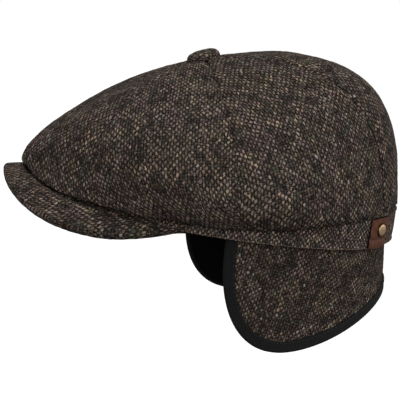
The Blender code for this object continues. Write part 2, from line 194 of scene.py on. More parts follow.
# Tab: its outline, one crease, the swell over its fold and its rounded edges
TAB_TAPER = 0.0030
TAB_WIDER = 0.0008
TAB_HANG = 0.0009
TAB_SWELL = 0.0006
TAB_END_RADIUS = 0.0008
TAB_CREASE_PLACE = 0.70
TAB_CREASE_SLANT = 0.05
TAB_CREASE_WIDTH = 0.0008
TAB_CREASE_DEPTH = 0.0005
TAB_FOLD_PLACE = 0.84
TAB_FOLD_WIDTH = 0.0022
TAB_FOLD_SWELL = 0.0003
TAB_EDGE_ROUND = 0.0005
TAB_EDGE_WIDTH = 0.0006
TAB_END_SHARES = (0.85, 0.5, 0.1)
# The two rows that turn under the band: how far out in gaps, and how far down in end radii
TAB_END_ROWS = ((0.3, 0.35), (-1.0, 0.5))

# Button: taller at its back, and sunk a little in the crown
BUTTON_SKEW = 0.12
BUTTON_SINK = 0.0013

# Crease: the crown's lower fold lifts, and the cloth of the visor and the band sinks under it
CROWN_FOLD_LIFT = 0.0014
FOLD_LIFT_TURN = math.radians(48)
FOLD_LIFT_SPREAD = math.radians(16)
VISOR_SINK = 0.0042
VISOR_SINK_WIDTH = 0.0040
VISOR_SINK_START = 0.9
VISOR_SINK_TUCK = 0.7
VISOR_FULL_WIDTH = 0.008
BAND_SINK = 0.0012
BAND_SINK_START = 0.002
BAND_SINK_WIDTH = 0.003

# Flap: the unevenness of its tweed, the tufts of its fleece and the fold of its tape
FLAP_SOFTNESS = 0.6
FLAP_SOFT_SIZE = 0.024
FLEECE_TUFT = 0.0022
FLEECE_CLUMP = 0.006
FLEECE_CLUMP_SHARE = 0.6
TAPE_WIDTH_INSIDE = 0.0028
TAPE_FOLD = 0.0018

# Threads on the band's lower fold, and stitches along the tape
WOOL_THREAD_RADIUS = 0.00020
WOOL_THREAD_HEIGHT = 0.0009
WOOL_THREAD_SLANT = 0.00025
WOOL_THREAD_RISE = 0.00012
WOOL_THREAD_SUNK = 0.00005
WOOL_THREAD_SHORTEST = 0.3
WOOL_THREAD_LONGEST = 0.55
WOOL_THREAD_JITTER = 0.3
STITCH_RADIUS = 0.00022
STITCH_FROM_EDGE = 0.0009
STITCH_REACH = 0.36
STITCH_RISE = 0.00016
STITCH_SUNK = 0.00004
THREAD_POINTS = 7
THREAD_SIDES = 8

# Fits
GAP = 0.0003
CROWN_GAP = 0.0006

# One row for each seam of the crown, from the front to the back. turn and overhang place its widest
# point, in degrees round the band and as a share of the crown's front overhang, and wide_height is a
# share of the button seat's height. top_pull and side_pull say how full the seam is near the button
# and near its widest point, and lean how far it tips inward there. crease_turn is where the seam ends
# on the band, in degrees.
Seam = namedtuple("Seam", "name turn overhang wide_height top_pull side_pull lean crease_turn")
SEAMS = (
    Seam("front", 0.0, 1.00, 0.215, 0.44, 0.23, 0.0, 0.0),
    Seam("front corner", 31.4, 0.452, 0.340, 0.47, 0.53, 0.0, 41.0),
    Seam("side", 79.0, 0.328, 0.230, 0.48, 0.38, 0.0, 83.0),
    Seam("rear corner", 139.5, 0.054, 0.262, 0.76, 0.80, 0.06, 142.0),
    Seam("rear", 180.0, 0.050, 0.262, 0.78, 0.80, 0.085, 180.0),
)
CROWN_ON_VISOR_MIDDLE = 0.72
CROWN_ON_VISOR_CORNER = 0.14

# Fineness of the cloth
PANEL_COLUMNS = 64
DOME_ROWS = 110
CURL_ROWS = 26
TUCK_ROWS = 8
SEAM_CROWDING = 0.45
BUTTON_ROWS = 40
BUTTON_COLUMNS = 72
BAND_COLUMNS = 560
VISOR_COLUMNS = 220
VISOR_ROWS = 46
VISOR_RIM_ROWS = 11
FLAP_ROWS = 76
FLAP_COLUMNS = 150
TAPE_COLUMNS = 260
TAB_COLUMNS = 40
TAB_ROWS = 44
STUD_ROWS = 66
STUD_COLUMNS = 64
STEP = 0.001
FLATTENING_ROUNDS = 4
FLATTENING_LEAST = 0.3
RELAXING_ROUNDS = 250
RELAXING_SHARE = 0.12

# Camera, from the photograph's perspective
IMAGE_PIXELS = 400
FOCAL_PIXELS = 1199.2
SENSOR_MM = 36.0
CAMERA_PLACE = Vector((0.7784, -0.1642, 0.1259))
CAMERA_AZIMUTH = math.radians(80.01)
CAMERA_RISE = math.radians(8.41)
CAMERA_ROLL = math.radians(8.574)

# How each piece lies on the bolt: grain turns it in degrees, a larger stretch gives coarser threads,
# and shift picks its place
CROWN_STRETCH = (1.0, 1.15)
PANEL_GRAINS = (0.0, 14.0, -4.0, 0.0)
PANEL_SHIFT = 0.5
LEFT_SHIFT = 0.3
RIGHT_SHIFT = 0.9
BUTTON_GRAIN = 35.0
BUTTON_STRETCH = 1 / 0.72
BUTTON_SHIFT = 2.7
BAND_GRAIN = -4.0
BAND_SHIFT = (2.5, 7.0)
BAND_STRETCH = (0.88, 0.96)
VISOR_GRAIN = 0.0
VISOR_SHIFT = (8.0, 2.0)
VISOR_STRIP_SHIFT = (0.0, 6.0)
VISOR_STRETCH = (0.86, 1.18)
FLAP_GRAIN = -11.0
FLAP_SHIFT = (9.0, 4.0)

# Added to the cloth coordinates of the leather's cut sides, so that its material can tell them and
# paint a shadow on them
CUT_EDGE = 1.0

# Tweed: the thread spacings to start from, how the threads stray and stand, and the colours that no
# property holds
WARP_SPACING = 0.00175
WEFT_SPACING = 0.00172
WANDER = 1.2
WANDER_SCALE = 0.3
FRIZZ = 1.35
FRIZZ_SCALE = 1.7
THREAD_ROUNDNESS = 0.8
WEFT_HEIGHT = 0.63
WEAVE_DEPTH = 0.0006
HUE_CHANGE = 0.3
HUE_SCALE = 0.22
FIBRE_SCALE = (4.6, 1.9, 1.0)
FIBRE_RELIEF = 0.3
WARP_ON_TOP = (-0.05, 0.1)
WEFT_BROWN = (0.35, 1.3)

# A colour of the heather: the size of its patches in threads, where they are read, what chance adds
# to them, and the range over which the colour comes in
Heather = namedtuple("Heather", "size shift seed weight low high")
LIGHT_HEATHER = Heather(3.0, 13.0, 2.0, 0.22, 0.60, 0.80)
GREEN_HEATHER = Heather(2.6, 41.0, 9.0, 0.10, 0.63, 0.75)
DARK_HEATHER = Heather(2.8, 0.0, 0.0, 0.16, 0.60, 0.74)

# Brightness of a float: its least, what chance and a pale fleck add, and then slope and start for its
# fibres and for the patches that they lie in
LEVEL_LEAST = 0.86
LEVEL_BY_CHANCE = 0.35
LEVEL_BY_FLECK = 0.6
LEVEL_BY_FIBRE = (2.2, -0.1)
LEVEL_BY_PATCH = (2.6, -0.3)
PATCH_PLACE = (2.9, 71.0, 5.0)
FLECK_CHANCE = (0.93, 1.0)
FLECK_COLOUR = (0.5, 1.0)

# Size of a float, in the same way, and the range over which it rises out of the pits, which are painted
# dark as shade
SIZE_LEAST = 0.42
SIZE_BY_CHANCE = 0.2
SIZE_BY_FIBRE = 0.8
PIT_SHADE_RANGE = (0.14, 0.72)
# The band's tweed is made lighter and the flap's darker than the same cloth elsewhere: painted light on
# the band under the crown's overhang, and painted shade on the flap
BAND_PAINTED_LIGHT = 1.50
FLAP_PAINTED_SHADE = 0.86
GREEN_WOOL = (0.066, 0.072, 0.054, 1)
PALE_FLECK = (0.34, 0.31, 0.27, 1)
# Colour of the pits between the floats: painted shade
PIT_PAINTED_SHADE = (0.008, 0.0045, 0.003, 1)

# The tape's ribs and weft, each from one to the next
TAPE_RIB = 0.0008
TAPE_WEFT = 0.0005

# Colours of the leather's pores, of its cut edges, which are painted near black as the shadow beside
# the tab's thick edge, and of the brass where it has gone dark
LEATHER_PORE = (0.01, 0.005, 0.004, 1)
LEATHER_EDGE_PAINTED_SHADOW = (0.006, 0.004, 0.003, 1)
DARK_BRASS = (0.06, 0.024, 0.009, 1)

# Stage
FLOOR_SIZE = 12.0
FLOOR_HEIGHT = -0.4
FLOOR_GREY = 0.15
ROOM_LIGHT = 0.44
LIGHT_AIM = (0.0, 0.0, 0.03)
# Name, place, width in metres and power in watts
LIGHTS = (
    ("top", (0.0, 0.0, 1.9), 1.4, 10.5),
    ("front", (0.3, -1.8, 0.9), 1.4, 2.5),
    ("side", (1.18, -0.25, 0.40), 0.8, 5.7),
    ("rear", (0.4, 1.8, 0.9), 1.4, 10.5),
)


class CapSizes(bpy.types.PropertyGroup):
    """Sizes of the cap's small forms and of its weave."""

    warp_spacing: FloatProperty(
        name="Warp spacing", description="Distance between the lengthwise threads of the tweed",
        default=WARP_SPACING, min=0.0005, max=0.005, subtype="DISTANCE", unit="LENGTH",
    )
    weft_spacing: FloatProperty(
        name="Weft spacing", description="Distance between the crosswise threads of the tweed",
        default=WEFT_SPACING, min=0.0005, max=0.005, subtype="DISTANCE", unit="LENGTH",
    )
    seam_depth: FloatProperty(
        name="Seam depth", description="How far the cloth sinks into a crown seam",
        default=0.0015, min=0, max=0.003, subtype="DISTANCE", unit="LENGTH",
    )
    seam_width: FloatProperty(
        name="Seam width", description="How far from a crown seam the cloth starts to sink",
        default=0.0012, min=0.0005, max=0.01, subtype="DISTANCE", unit="LENGTH",
    )
    pucker: FloatProperty(
        name="Pucker", description="Height of the small gathers beside the crown seams",
        default=0.00025, min=0, max=0.002, subtype="DISTANCE", unit="LENGTH",
    )
    unevenness: FloatProperty(
        name="Unevenness", description="Height of the soft rises and hollows of the cloth",
        default=0.0006, min=0, max=0.003, subtype="DISTANCE", unit="LENGTH",
    )
    nap: FloatProperty(
        name="Nap", description="Height of the tweed's rough surface",
        default=0.00022, min=0, max=0.001, subtype="DISTANCE", unit="LENGTH",
    )
    fleece_pile: FloatProperty(
        name="Fleece pile", description="Height of the tufts of the lining",
        default=0.0004, min=0, max=0.002, subtype="DISTANCE", unit="LENGTH",
    )
    thread_step: FloatProperty(
        name="Thread step", description="Distance between the pale threads on the band's lower fold",
        default=0.0022, min=0.001, max=0.006, subtype="DISTANCE", unit="LENGTH",
    )
    stitch_length: FloatProperty(
        name="Stitch length", description="Length of one stitch beside the tape's edge",
        default=0.0026, min=0.001, max=0.006, subtype="DISTANCE", unit="LENGTH",
    )


class CapColours(bpy.types.PropertyGroup):
    """Colours of the cap's cloths, leather and metal."""

    wool_brown: FloatVectorProperty(
        name="Brown wool", description="Main colour of the tweed's threads",
        default=(0.182, 0.141, 0.119), min=0, max=1, size=3, subtype="COLOR",
    )
    wool_light: FloatVectorProperty(
        name="Light wool", description="Tan of the tweed's light flecks",
        default=(0.268, 0.206, 0.150), min=0, max=1, size=3, subtype="COLOR",
    )
    wool_dark: FloatVectorProperty(
        name="Dark wool", description="Green-black of the tweed's dark flecks",
        default=(0.056, 0.054, 0.050), min=0, max=1, size=3, subtype="COLOR",
    )
    wool_weft: FloatVectorProperty(
        name="Weft wool", description="Dark red-brown of the crosswise threads",
        default=(0.060, 0.036, 0.026), min=0, max=1, size=3, subtype="COLOR",
    )
    fleece: FloatVectorProperty(
        name="Fleece", description="Colour of the flap's lining",
        default=(0.0045, 0.0045, 0.0047), min=0, max=1, size=3, subtype="COLOR",
    )
    tape: FloatVectorProperty(
        name="Tape", description="Colour of the binding tape",
        default=(0.0062, 0.0065, 0.0065), min=0, max=1, size=3, subtype="COLOR",
    )
    leather: FloatVectorProperty(
        name="Leather", description="Colour of the tab",
        default=(0.125, 0.044, 0.024), min=0, max=1, size=3, subtype="COLOR",
    )
    brass: FloatVectorProperty(
        name="Brass", description="Colour of the stud's face",
        default=(0.86, 0.61, 0.37), min=0, max=1, size=3, subtype="COLOR",
    )


def mix(a, b, share):
    return a + (b - a) * share


def ease(share):
    """0 to 1 with a level start and end."""
    share = min(max(share, 0.0), 1.0)
    return share * share * (3 - 2 * share)


def bezier(a, b, c, d, t):
    u = 1 - t
    return a * (u * u * u) + b * (3 * u * u * t) + c * (3 * u * t * t) + d * (t * t * t)


def even_series(values, angle):
    """Smooth and even in angle, through values at equal steps from 0 to pi."""
    last = len(values) - 1
    total = 0.0
    for k in range(last + 1):
        weight = sum(
            value * math.cos(math.pi * j * k / last) * (0.5 if j in (0, last) else 1.0)
            for j, value in enumerate(values)
        )
        total += weight * math.cos(k * angle) * (0.5 if k in (0, last) else 1.0)
    return total * 2 / last


def odd_series(values, angle):
    """Smooth and odd in angle, through values at equal steps from 0 to pi. The end values are 0."""
    last = len(values) - 1
    total = 0.0
    for k in range(1, last):
        weight = sum(values[j] * math.sin(math.pi * j * k / last) for j in range(1, last))
        total += weight * math.sin(k * angle)
    return total * 2 / last


def band_point(turn, out, height):
    """A point out metres outside the band's oval."""
    return Vector(
        (
            (BAND_HALF_WIDTH + out) * math.sin(turn),
            -(BAND_HALF_LENGTH + out) * math.cos(turn),
            height,
        )
    )


def length_per_turn(turn):
    """Length along the band's oval for each radian of turn."""
    return math.hypot(BAND_HALF_WIDTH * math.cos(turn), BAND_HALF_LENGTH * math.sin(turn))


def visor_turn_share(turn):
    """The visor's own angle, which reaches a right angle at its corners."""
    return min(turn / VISOR_TURN, 1.0) * math.pi / 2


def band_low(turn):
    """Height of the band's lower edge, which rises over the arched visor."""
    return BAND_FRONT_RISE * max(math.cos(visor_turn_share(turn)), 0.0) ** BAND_RISE_POINT


def visor_root(fan):
    """A point of the board's middle surface at the band, fan being the visor's own angle."""
    turn = fan / (math.pi / 2) * VISOR_TURN
    return band_point(turn, GAP, band_low(abs(turn)) + VISOR_THICKNESS / 2)


def visor_rim(fan):
    """A point of the board's middle surface at its free edge."""
    corner = visor_root(math.pi / 2)
    tip_y = -(BAND_HALF_LENGTH + VISOR_PROJECTION)
    across = math.sin(fan)
    along = max(1 - abs(across) ** VISOR_SQUARENESS, 0.0)
    return Vector(
        (
            corner.x * across,
            mix(corner.y, tip_y, along**VISOR_FRONT_POINT),
            mix(corner.z, VISOR_TIP_HEIGHT, along)
            - VISOR_SIDE_DIP * abs(across) ** VISOR_DIP_POINT * math.sqrt(along),
        )
    )


def visor_middle(fan, share):
    """The board's middle surface, from the band at share 0 to the rim at share 1."""
    return mix(visor_root(fan), visor_rim(fan), share)


def visor_surface(fan, share, above):
    """A point above the board's middle surface, upright at the band and square to it further out."""
    across = visor_middle(fan + STEP, share) - visor_middle(fan - STEP, share)
    along = visor_rim(fan) - visor_root(fan)
    square = along.cross(across).normalized()
    upright = Vector((0, 0, 1))
    blend = ease(share * along.length / VISOR_UPRIGHT_REACH)
    return visor_middle(fan, share) + mix(upright, square, blend).normalized() * above


def between_seams(values, theta):
    """An eased value between those of the two nearest seams."""
    place = theta / math.pi * (len(values) - 1)
    i = min(max(int(place), 0), len(values) - 2)
    return mix(values[i], values[i + 1], ease(place - i))


def turn_through(degrees, theta):
    """A turn round the band that passes through the given ones, one at each seam."""
    last = len(degrees) - 1
    drift = [math.radians(value) - math.pi * i / last for i, value in enumerate(degrees)]
    return theta + odd_series(drift, theta)


def crown_wide(theta):
    """The crown's widest point at this panel angle."""
    turn = turn_through([seam.turn for seam in SEAMS], theta)
    overhang = between_seams([seam.overhang for seam in SEAMS], abs(theta))
    height = even_series([seam.wide_height for seam in SEAMS], theta)
    return band_point(turn, overhang * CROWN_FRONT_OVERHANG, height * BUTTON_SEAT_HEIGHT)


def crease_height(turn):
    """Height of the crown's lower edge on the band behind the visor."""
    corner = VISOR_THICKNESS + CROWN_GAP
    back = BAND_HEIGHT - CREASE_DROP_AT_BACK
    share = (turn - VISOR_TURN) / (CREASE_LEVEL_TURN - VISOR_TURN)
    return mix(corner, back, ease(share))


def fold_lift(turn):
    """How far the crown's lower fold stands off what it lies on, most at the visor's corners."""
    share = (abs(turn) - FOLD_LIFT_TURN) / FOLD_LIFT_SPREAD
    return CROWN_FOLD_LIFT * math.exp(-share * share)


def crown_hem(theta):
    """The crown's lowest point and its hem on the band, on the cloth's outer side."""
    turn = turn_through([seam.crease_turn for seam in SEAMS], theta)
    back = ease((turn - math.pi / 2) / (HEM_UPRIGHT_TURN - math.pi / 2))
    outward = band_point(turn, 1.0, 0.0) - band_point(turn, 0.0, 0.0)
    tuck = outward * (HEM_TUCK * (1 - back)) + Vector((0, 0, HEM_LIFT * back))
    if turn < VISOR_TURN:
        fan = math.copysign(visor_turn_share(abs(turn)), turn)
        above = VISOR_THICKNESS / 2 + CROWN_GAP
        reach = mix(CROWN_ON_VISOR_CORNER, CROWN_ON_VISOR_MIDDLE, math.cos(fan) ** 2)
        hem = visor_surface(fan, 0.0, above)
        low = visor_surface(fan, reach, above) + tuck * math.sin(fan) ** 2
    else:
        hem = band_point(turn, CROWN_GAP + CLOTH_THICKNESS * back, crease_height(turn))
        low = hem + tuck
    return low + Vector((0, 0, fold_lift(turn))), hem


def crown_controls(theta):
    """The control points of the crown's outer side at this panel angle, from button to hem."""
    seat = Vector((0, -BUTTON_SEAT_FORWARD, BUTTON_SEAT_HEIGHT))
    wide = crown_wide(theta)
    low, hem = crown_hem(theta)
    top_pull = even_series([seam.top_pull for seam in SEAMS], theta)
    side_pull = even_series([seam.side_pull for seam in SEAMS], theta)
    reach = (wide - seat).xy.length
    slope = CROWN_DOME_SLOPE + math.tan(BUTTON_SEAT_LEAN) * math.cos(theta)
    away = Vector((math.sin(theta), -math.cos(theta), -slope))
    lean = between_seams([seam.lean for seam in SEAMS], abs(theta))
    upward = Vector((-wide.x * lean, (seat.y - wide.y) * lean, (seat.z - wide.z) * side_pull))
    drop = wide.z - low.z
    inward = (wide - low).xy.length
    from_hem = (low - hem).normalized()
    pull = mix(CURL_PULL, CURL_PULL_REAR, ease(abs(theta) / math.pi))
    return (
        seat,
        seat + away * (top_pull * reach),
        wide + upward,
        wide,
        wide - Vector((0, 0, pull * drop)),
        low + from_hem * (pull * inward),
        low,
        hem,
    )


def crown_grid(thetas, stations):
    """Points of the crown's outer side. Station 0 is the button, 1 the widest point, 3 the hem."""
    controls = np.array([[list(p) for p in crown_controls(theta)] for theta in thetas])
    c = [controls[None, :, k, :] for k in range(controls.shape[1])]
    s = np.asarray(stations)[:, None, None]
    dome = bezier(c[0], c[1], c[2], c[3], np.clip(s, 0, 1))
    curl = bezier(c[3], c[4], c[5], c[6], np.clip(s - 1, 0, 1))
    tuck = mix(c[6], c[7], np.clip(s - 2, 0, 1))
    return np.where(s <= 1, dome, np.where(s <= 2, curl, tuck))


def crown_stations(theta):
    """The rows of a panel, from its tip under the button to its hem."""
    seat, handle = crown_controls(theta)[:2]
    first = PANEL_TIP_RADIUS / (3 * (handle - seat).xy.length)
    rows = [mix(first, 1.0, i / DOME_ROWS) for i in range(DOME_ROWS + 1)]
    rows += [1 + (i + 1) / CURL_ROWS for i in range(CURL_ROWS)]
    return np.array(rows + [2 + (i + 1) / TUCK_ROWS for i in range(TUCK_ROWS)])


def flap_point(turn, height, out):
    """A point out metres outside the surface where the flap's two layers meet."""
    layers = BAND_WALL + GAP + TAPE_THICKNESS + GAP + FLAP_CLOTH + GAP / 2
    back = mix(FLAP_FLARE_AT_SIDE, 1.0, math.sin(min(turn, 2 * math.pi - turn) - math.pi / 2) ** 2)
    flare = FLAP_FLARE * back * max(-height, 0.0) / FLAP_DROP
    return band_point(turn, out + flare - layers, height)


def flap_edge(share):
    """Turn and height of the flap's free edge, from its front end at share 0 to the nape at 1."""
    if share < FLAP_STRAIGHT_SHARE:
        return FLAP_FRONT_TURN, mix(FLAP_TUCK_HEIGHT, 0.0, share / FLAP_STRAIGHT_SHARE)
    if share < FLAP_CORNER_SHARE:
        along = (share - FLAP_STRAIGHT_SHARE) / (FLAP_CORNER_SHARE - FLAP_STRAIGHT_SHARE)
        angle = along * math.pi / 2
        turn = mix(FLAP_LOWEST_TURN, FLAP_FRONT_TURN, math.cos(angle) ** FLAP_CORNER_POINT)
        return turn, -FLAP_DROP * math.sin(angle) ** FLAP_CORNER_POINT
    along = (share - FLAP_CORNER_SHARE) / (1 - FLAP_CORNER_SHARE)
    rise = 0.5 - 0.5 * math.cos(math.pi * along**NAPE_RISE_POINT)
    return mix(FLAP_LOWEST_TURN, math.pi, along), -mix(FLAP_DROP, NAPE_DROP, rise)


def inside_edge(share, inset):
    """Turn and height of a point inset metres inside the flap's free edge, along the flap."""
    step = 2 * STEP
    before = flap_edge(max(share - step, 0.0))
    after = flap_edge(min(share + step, 1.0))
    turn, height = flap_edge(share)
    per_turn = length_per_turn(turn)
    run = (after[0] - before[0]) * per_turn
    rise = after[1] - before[1]
    if share >= 1.0:
        rise = 0.0
    length = math.hypot(run, rise)
    return turn - inset * rise / length / per_turn, height + inset * run / length


def flap_patch(u, v):
    """Turn and height inside the left half of the flap, u from its front to the nape, v downward."""
    inset = TAPE_THICKNESS + GAP

    def side(share):
        return Vector(inside_edge(share, inset))

    top_left, bottom_left = side(0.0), side(FLAP_CORNER_AT)
    bottom_right = side(1.0)
    top_left.y = FLAP_TUCK_HEIGHT
    top_right = Vector((math.pi, FLAP_TUCK_HEIGHT))
    left = side(FLAP_CORNER_AT * v)
    left.y = min(left.y, FLAP_TUCK_HEIGHT)
    right = mix(top_right, bottom_right, v)
    top = mix(top_left, top_right, u)
    bottom = side(mix(FLAP_CORNER_AT, 1.0, u))
    corners = mix(mix(top_left, top_right, u), mix(bottom_left, bottom_right, u), v)
    return mix(left, right, u) + mix(top, bottom, v) - corners


def unit(vectors):
    """The same directions at a length of 1."""
    return vectors / np.maximum(np.linalg.norm(vectors, axis=-1, keepdims=True), 1e-12)


def running(steps):
    """0, and then the sum of the steps so far."""
    return np.concatenate([[0.0], np.cumsum(steps)])


def lathe(profile, rows, radius, height):
    """Radii and heights at even steps along a turned outline, and how far along it each one is."""
    radii, heights = (np.array(values) for values in zip(*profile))
    place = running(np.hypot(np.diff(radii), np.diff(heights)))
    along = np.linspace(0, place[-1], rows)
    return np.interp(along, place, radii) * radius, np.interp(along, place, heights) * height, along


def girth_at(turns):
    """Length along the band's oval from the first turn to each."""
    per_turn = np.array([length_per_turn(turn) for turn in turns])
    return running(0.5 * (per_turn[1:] + per_turn[:-1]) * np.diff(turns))


def nap_of(grid):
    """The tweed's rough surface at each point of a grid."""
    return bpy.context.scene.cap_sizes.nap * soft_noise(grid, NAP_SIZE, 3)


def outward_of(grid):
    """Unit normals of a grid whose rows run down and columns round the wearer's left."""
    return unit(np.cross(np.gradient(grid, axis=0), np.gradient(grid, axis=1)))


def soft_noise(grid, size, seed):
    """Smooth noise from -1 to 1 at each point of a grid, with features of the given size."""
    offset = Vector((seed * 7.3, seed * 3.1, seed * 5.7))
    flat = [noise.noise(Vector(p) / size + offset) for p in grid.reshape(-1, 3)]
    return np.array(flat).reshape(grid.shape[:-1])


def laid_flat(grid):
    """Cloth coordinates in metres, with the threads along the middle column.

    Each column keeps its length and each row its length, as far as a curved piece allows.
    """
    middle = grid.shape[1] // 2
    down = np.linalg.norm(np.diff(grid, axis=0), axis=2)
    across = np.linalg.norm(np.diff(grid, axis=1), axis=2)
    top, left = np.zeros((1, grid.shape[1])), np.zeros((grid.shape[0], 1))
    v = np.concatenate([top, np.cumsum(down, axis=0)])
    for _ in range(FLATTENING_ROUNDS):
        rise = np.diff(v, axis=1)
        wide = np.sqrt(np.maximum(across**2 - rise**2, (FLATTENING_LEAST * across) ** 2))
        u = np.concatenate([left, np.cumsum(wide, axis=1)], axis=1)
        u -= u[:, middle : middle + 1]
        drift = np.diff(u, axis=0)
        long = np.sqrt(np.maximum(down**2 - drift**2, (FLATTENING_LEAST * down) ** 2))
        v = np.concatenate([top, np.cumsum(long, axis=0)])
    return relaxed(np.stack([u, v], axis=-1), grid)


def relaxed(cloth, grid):
    """Cloth coordinates eased until neighbours lie as far apart as on the piece itself."""
    pairs = (((0, 1), 0), ((1, 0), 0), ((1, 1), 0), ((1, 1), 1))
    rows, columns = grid.shape[:2]
    links = []
    for (down, across), crossed in pairs:
        first = (slice(0, rows - down), slice(0, columns - across))
        second = (slice(down, rows), slice(across, columns))
        if crossed:
            first = (slice(0, rows - down), slice(across, columns))
            second = (slice(down, rows), slice(0, columns - across))
        links.append((first, second, np.linalg.norm(grid[first] - grid[second], axis=-1)))
    flat = cloth.copy()
    for _ in range(RELAXING_ROUNDS):
        push = np.zeros_like(flat)
        for first, second, rest in links:
            gap = flat[second] - flat[first]
            length = np.maximum(np.linalg.norm(gap, axis=-1), 1e-9)
            step = gap * ((length - rest) / length * RELAXING_SHARE)[..., None]
            push[first] += step
            push[second] -= step
        flat += push
    return flat


def turned(cloth, degrees, shift=(0.0, 0.0)):
    """Cloth coordinates turned on the bolt, so that the threads run at an angle."""
    angle = math.radians(degrees)
    c, s = math.cos(angle), math.sin(angle)
    u, v = cloth[..., 0], cloth[..., 1]
    return np.stack([u * c - v * s + shift[0], u * s + v * c + shift[1]], axis=-1)


def mirrored(grid):
    """The same grid on the wearer's right."""
    return (grid * np.array([-1, 1, 1]))[:, ::-1]


def shell(outer, inner, cloth):
    """The six grids that close a wall between an outer and an inner grid."""
    grids = [(outer, cloth), (inner, cloth)]
    for end in (slice(None, 1), slice(-1, None)):
        for place, axis in (((end, slice(None)), 0), ((slice(None), end), 1)):
            edge = np.concatenate([outer[place], inner[place]], axis)
            grids.append((edge, np.concatenate([cloth[place], cloth[place]], axis)))
    return grids


def closed(grid, cloth, strip_shift=(0.0, 0.0)):
    """A grid, and the strip that joins its last row to its first, with its place on the bolt."""
    strip = np.stack([cloth[-1], cloth[-1]]) + np.array(strip_shift)
    return [(grid, cloth), (np.stack([grid[-1], grid[0]]), strip)]


def add_piece(name, grids, material, slot, *nodes, close=False, sharp=55):
    """One mesh from grids of points with their cloth coordinates, riding on the cap."""
    points, flats, faces = [], [], []
    for grid, cloth in grids:
        rows, columns = grid.shape[:2]
        first = sum(len(p) for p in points)
        index = first + np.arange(rows * columns).reshape(rows, columns)
        quads = np.stack(
            [index[:-1, :-1], index[1:, :-1], index[1:, 1:], index[:-1, 1:]], axis=-1
        ).reshape(-1, 4)
        faces.append(quads)
        points.append(grid.reshape(-1, 3))
        flats.append(cloth.reshape(-1, 2))
    points, flats, faces = (np.concatenate(x) for x in (points, flats, faces))
    mesh = bpy.data.meshes.new(name)
    mesh.from_pydata(points.tolist(), [], faces.tolist())
    layer = mesh.uv_layers.new(name="cloth")
    corners = np.zeros(len(mesh.loops), dtype=np.int32)
    mesh.loops.foreach_get("vertex_index", corners)
    layer.uv.foreach_set("vector", flats[corners].astype(np.float32).ravel())
    shape = bmesh.new()
    shape.from_mesh(mesh)
    bmesh.ops.remove_doubles(shape, verts=shape.verts, dist=1e-7)
    if close:
        bmesh.ops.holes_fill(shape, edges=[e for e in shape.edges if e.is_boundary])
    bmesh.ops.recalc_face_normals(shape, faces=shape.faces)
    shape.to_mesh(mesh)
    shape.free()
    mesh.shade_smooth()
    mesh.set_sharp_from_angle(angle=math.radians(sharp))
    mesh.materials.append(material)
    piece = bpy.data.objects.new(name, mesh)
    bpy.context.scene.collection.objects.link(piece)
    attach(piece, "root")
    if nodes:
        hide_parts(*nodes)
    return piece


# Node helpers


def add_node(tree, kind, inputs=None, **settings):
    """A node with its settings made and its inputs linked or set, named or numbered."""
    node = tree.nodes.new("ShaderNode" + kind)
    for key, value in settings.items():
        setattr(node, key, value)
    for key, value in (inputs or {}).items():
        if isinstance(value, bpy.types.NodeSocket):
            tree.links.new(value, node.inputs[key])
        else:
            node.inputs[key].default_value = value
    return node


def maths(tree, operation, *values):
    """The result of one step of arithmetic on numbers or sockets."""
    node = add_node(tree, "Math", dict(enumerate(values)), operation=operation)
    return node.outputs[0]


def vector_maths(tree, operation, *values):
    """The same for vectors and colours."""
    node = add_node(tree, "VectorMath", dict(enumerate(values)), operation=operation)
    return node.outputs[0]


def scaled(tree, vector, factor):
    node = add_node(tree, "VectorMath", {0: vector, "Scale": factor}, operation="SCALE")
    return node.outputs[0]


def separated(tree, vector):
    """The three parts of a vector."""
    return add_node(tree, "SeparateXYZ", {0: vector}).outputs


def white_noise(tree, vector):
    """A chance from 0 to 1, the same wherever the vector is the same."""
    return add_node(tree, "TexWhiteNoise", {"Vector": vector}).outputs["Value"]


def clouds(tree, vector, scale, detail, roughness=0.5):
    """Smooth noise from 0 to 1."""
    inputs = {"Vector": vector, "Scale": scale, "Detail": detail, "Roughness": roughness}
    return add_node(tree, "TexNoise", inputs).outputs["Fac"]


def ramp(tree, value, low, high):
    """0 to 1 as value goes from low to high, smoothly."""
    node = add_node(
        tree, "MapRange", {"Value": value, "From Min": low, "From Max": high},
        interpolation_type="SMOOTHSTEP",
    )
    return node.outputs["Result"]


def blend_colours(tree, share, first, second, mode="MIX"):
    node = add_node(
        tree, "Mix", {"Factor": share, "A": first, "B": second}, data_type="RGBA", blend_type=mode
    )
    return node.outputs["Result"]


def new_group(name, inputs, outputs):
    """An empty node group with named sockets, its input node and its output node."""
    group = bpy.data.node_groups.new(name, "ShaderNodeTree")
    for socket, kind, value in inputs:
        made = group.interface.new_socket(socket, in_out="INPUT", socket_type=kind)
        if value is not None:
            made.default_value = value
    for socket, kind in outputs:
        group.interface.new_socket(socket, in_out="OUTPUT", socket_type=kind)
    return group, group.nodes.new("NodeGroupInput"), group.nodes.new("NodeGroupOutput")


def stray(tree, cloth, scale, reach):
    """How far the threads stray from their straight lines, at one scale."""
    drift = add_node(tree, "TexNoise", {"Vector": cloth, "Scale": scale, "Detail": 2.0})
    return scaled(tree, vector_maths(tree, "SUBTRACT", drift.outputs["Color"], (0.5, 0.5, 0.5)), reach)


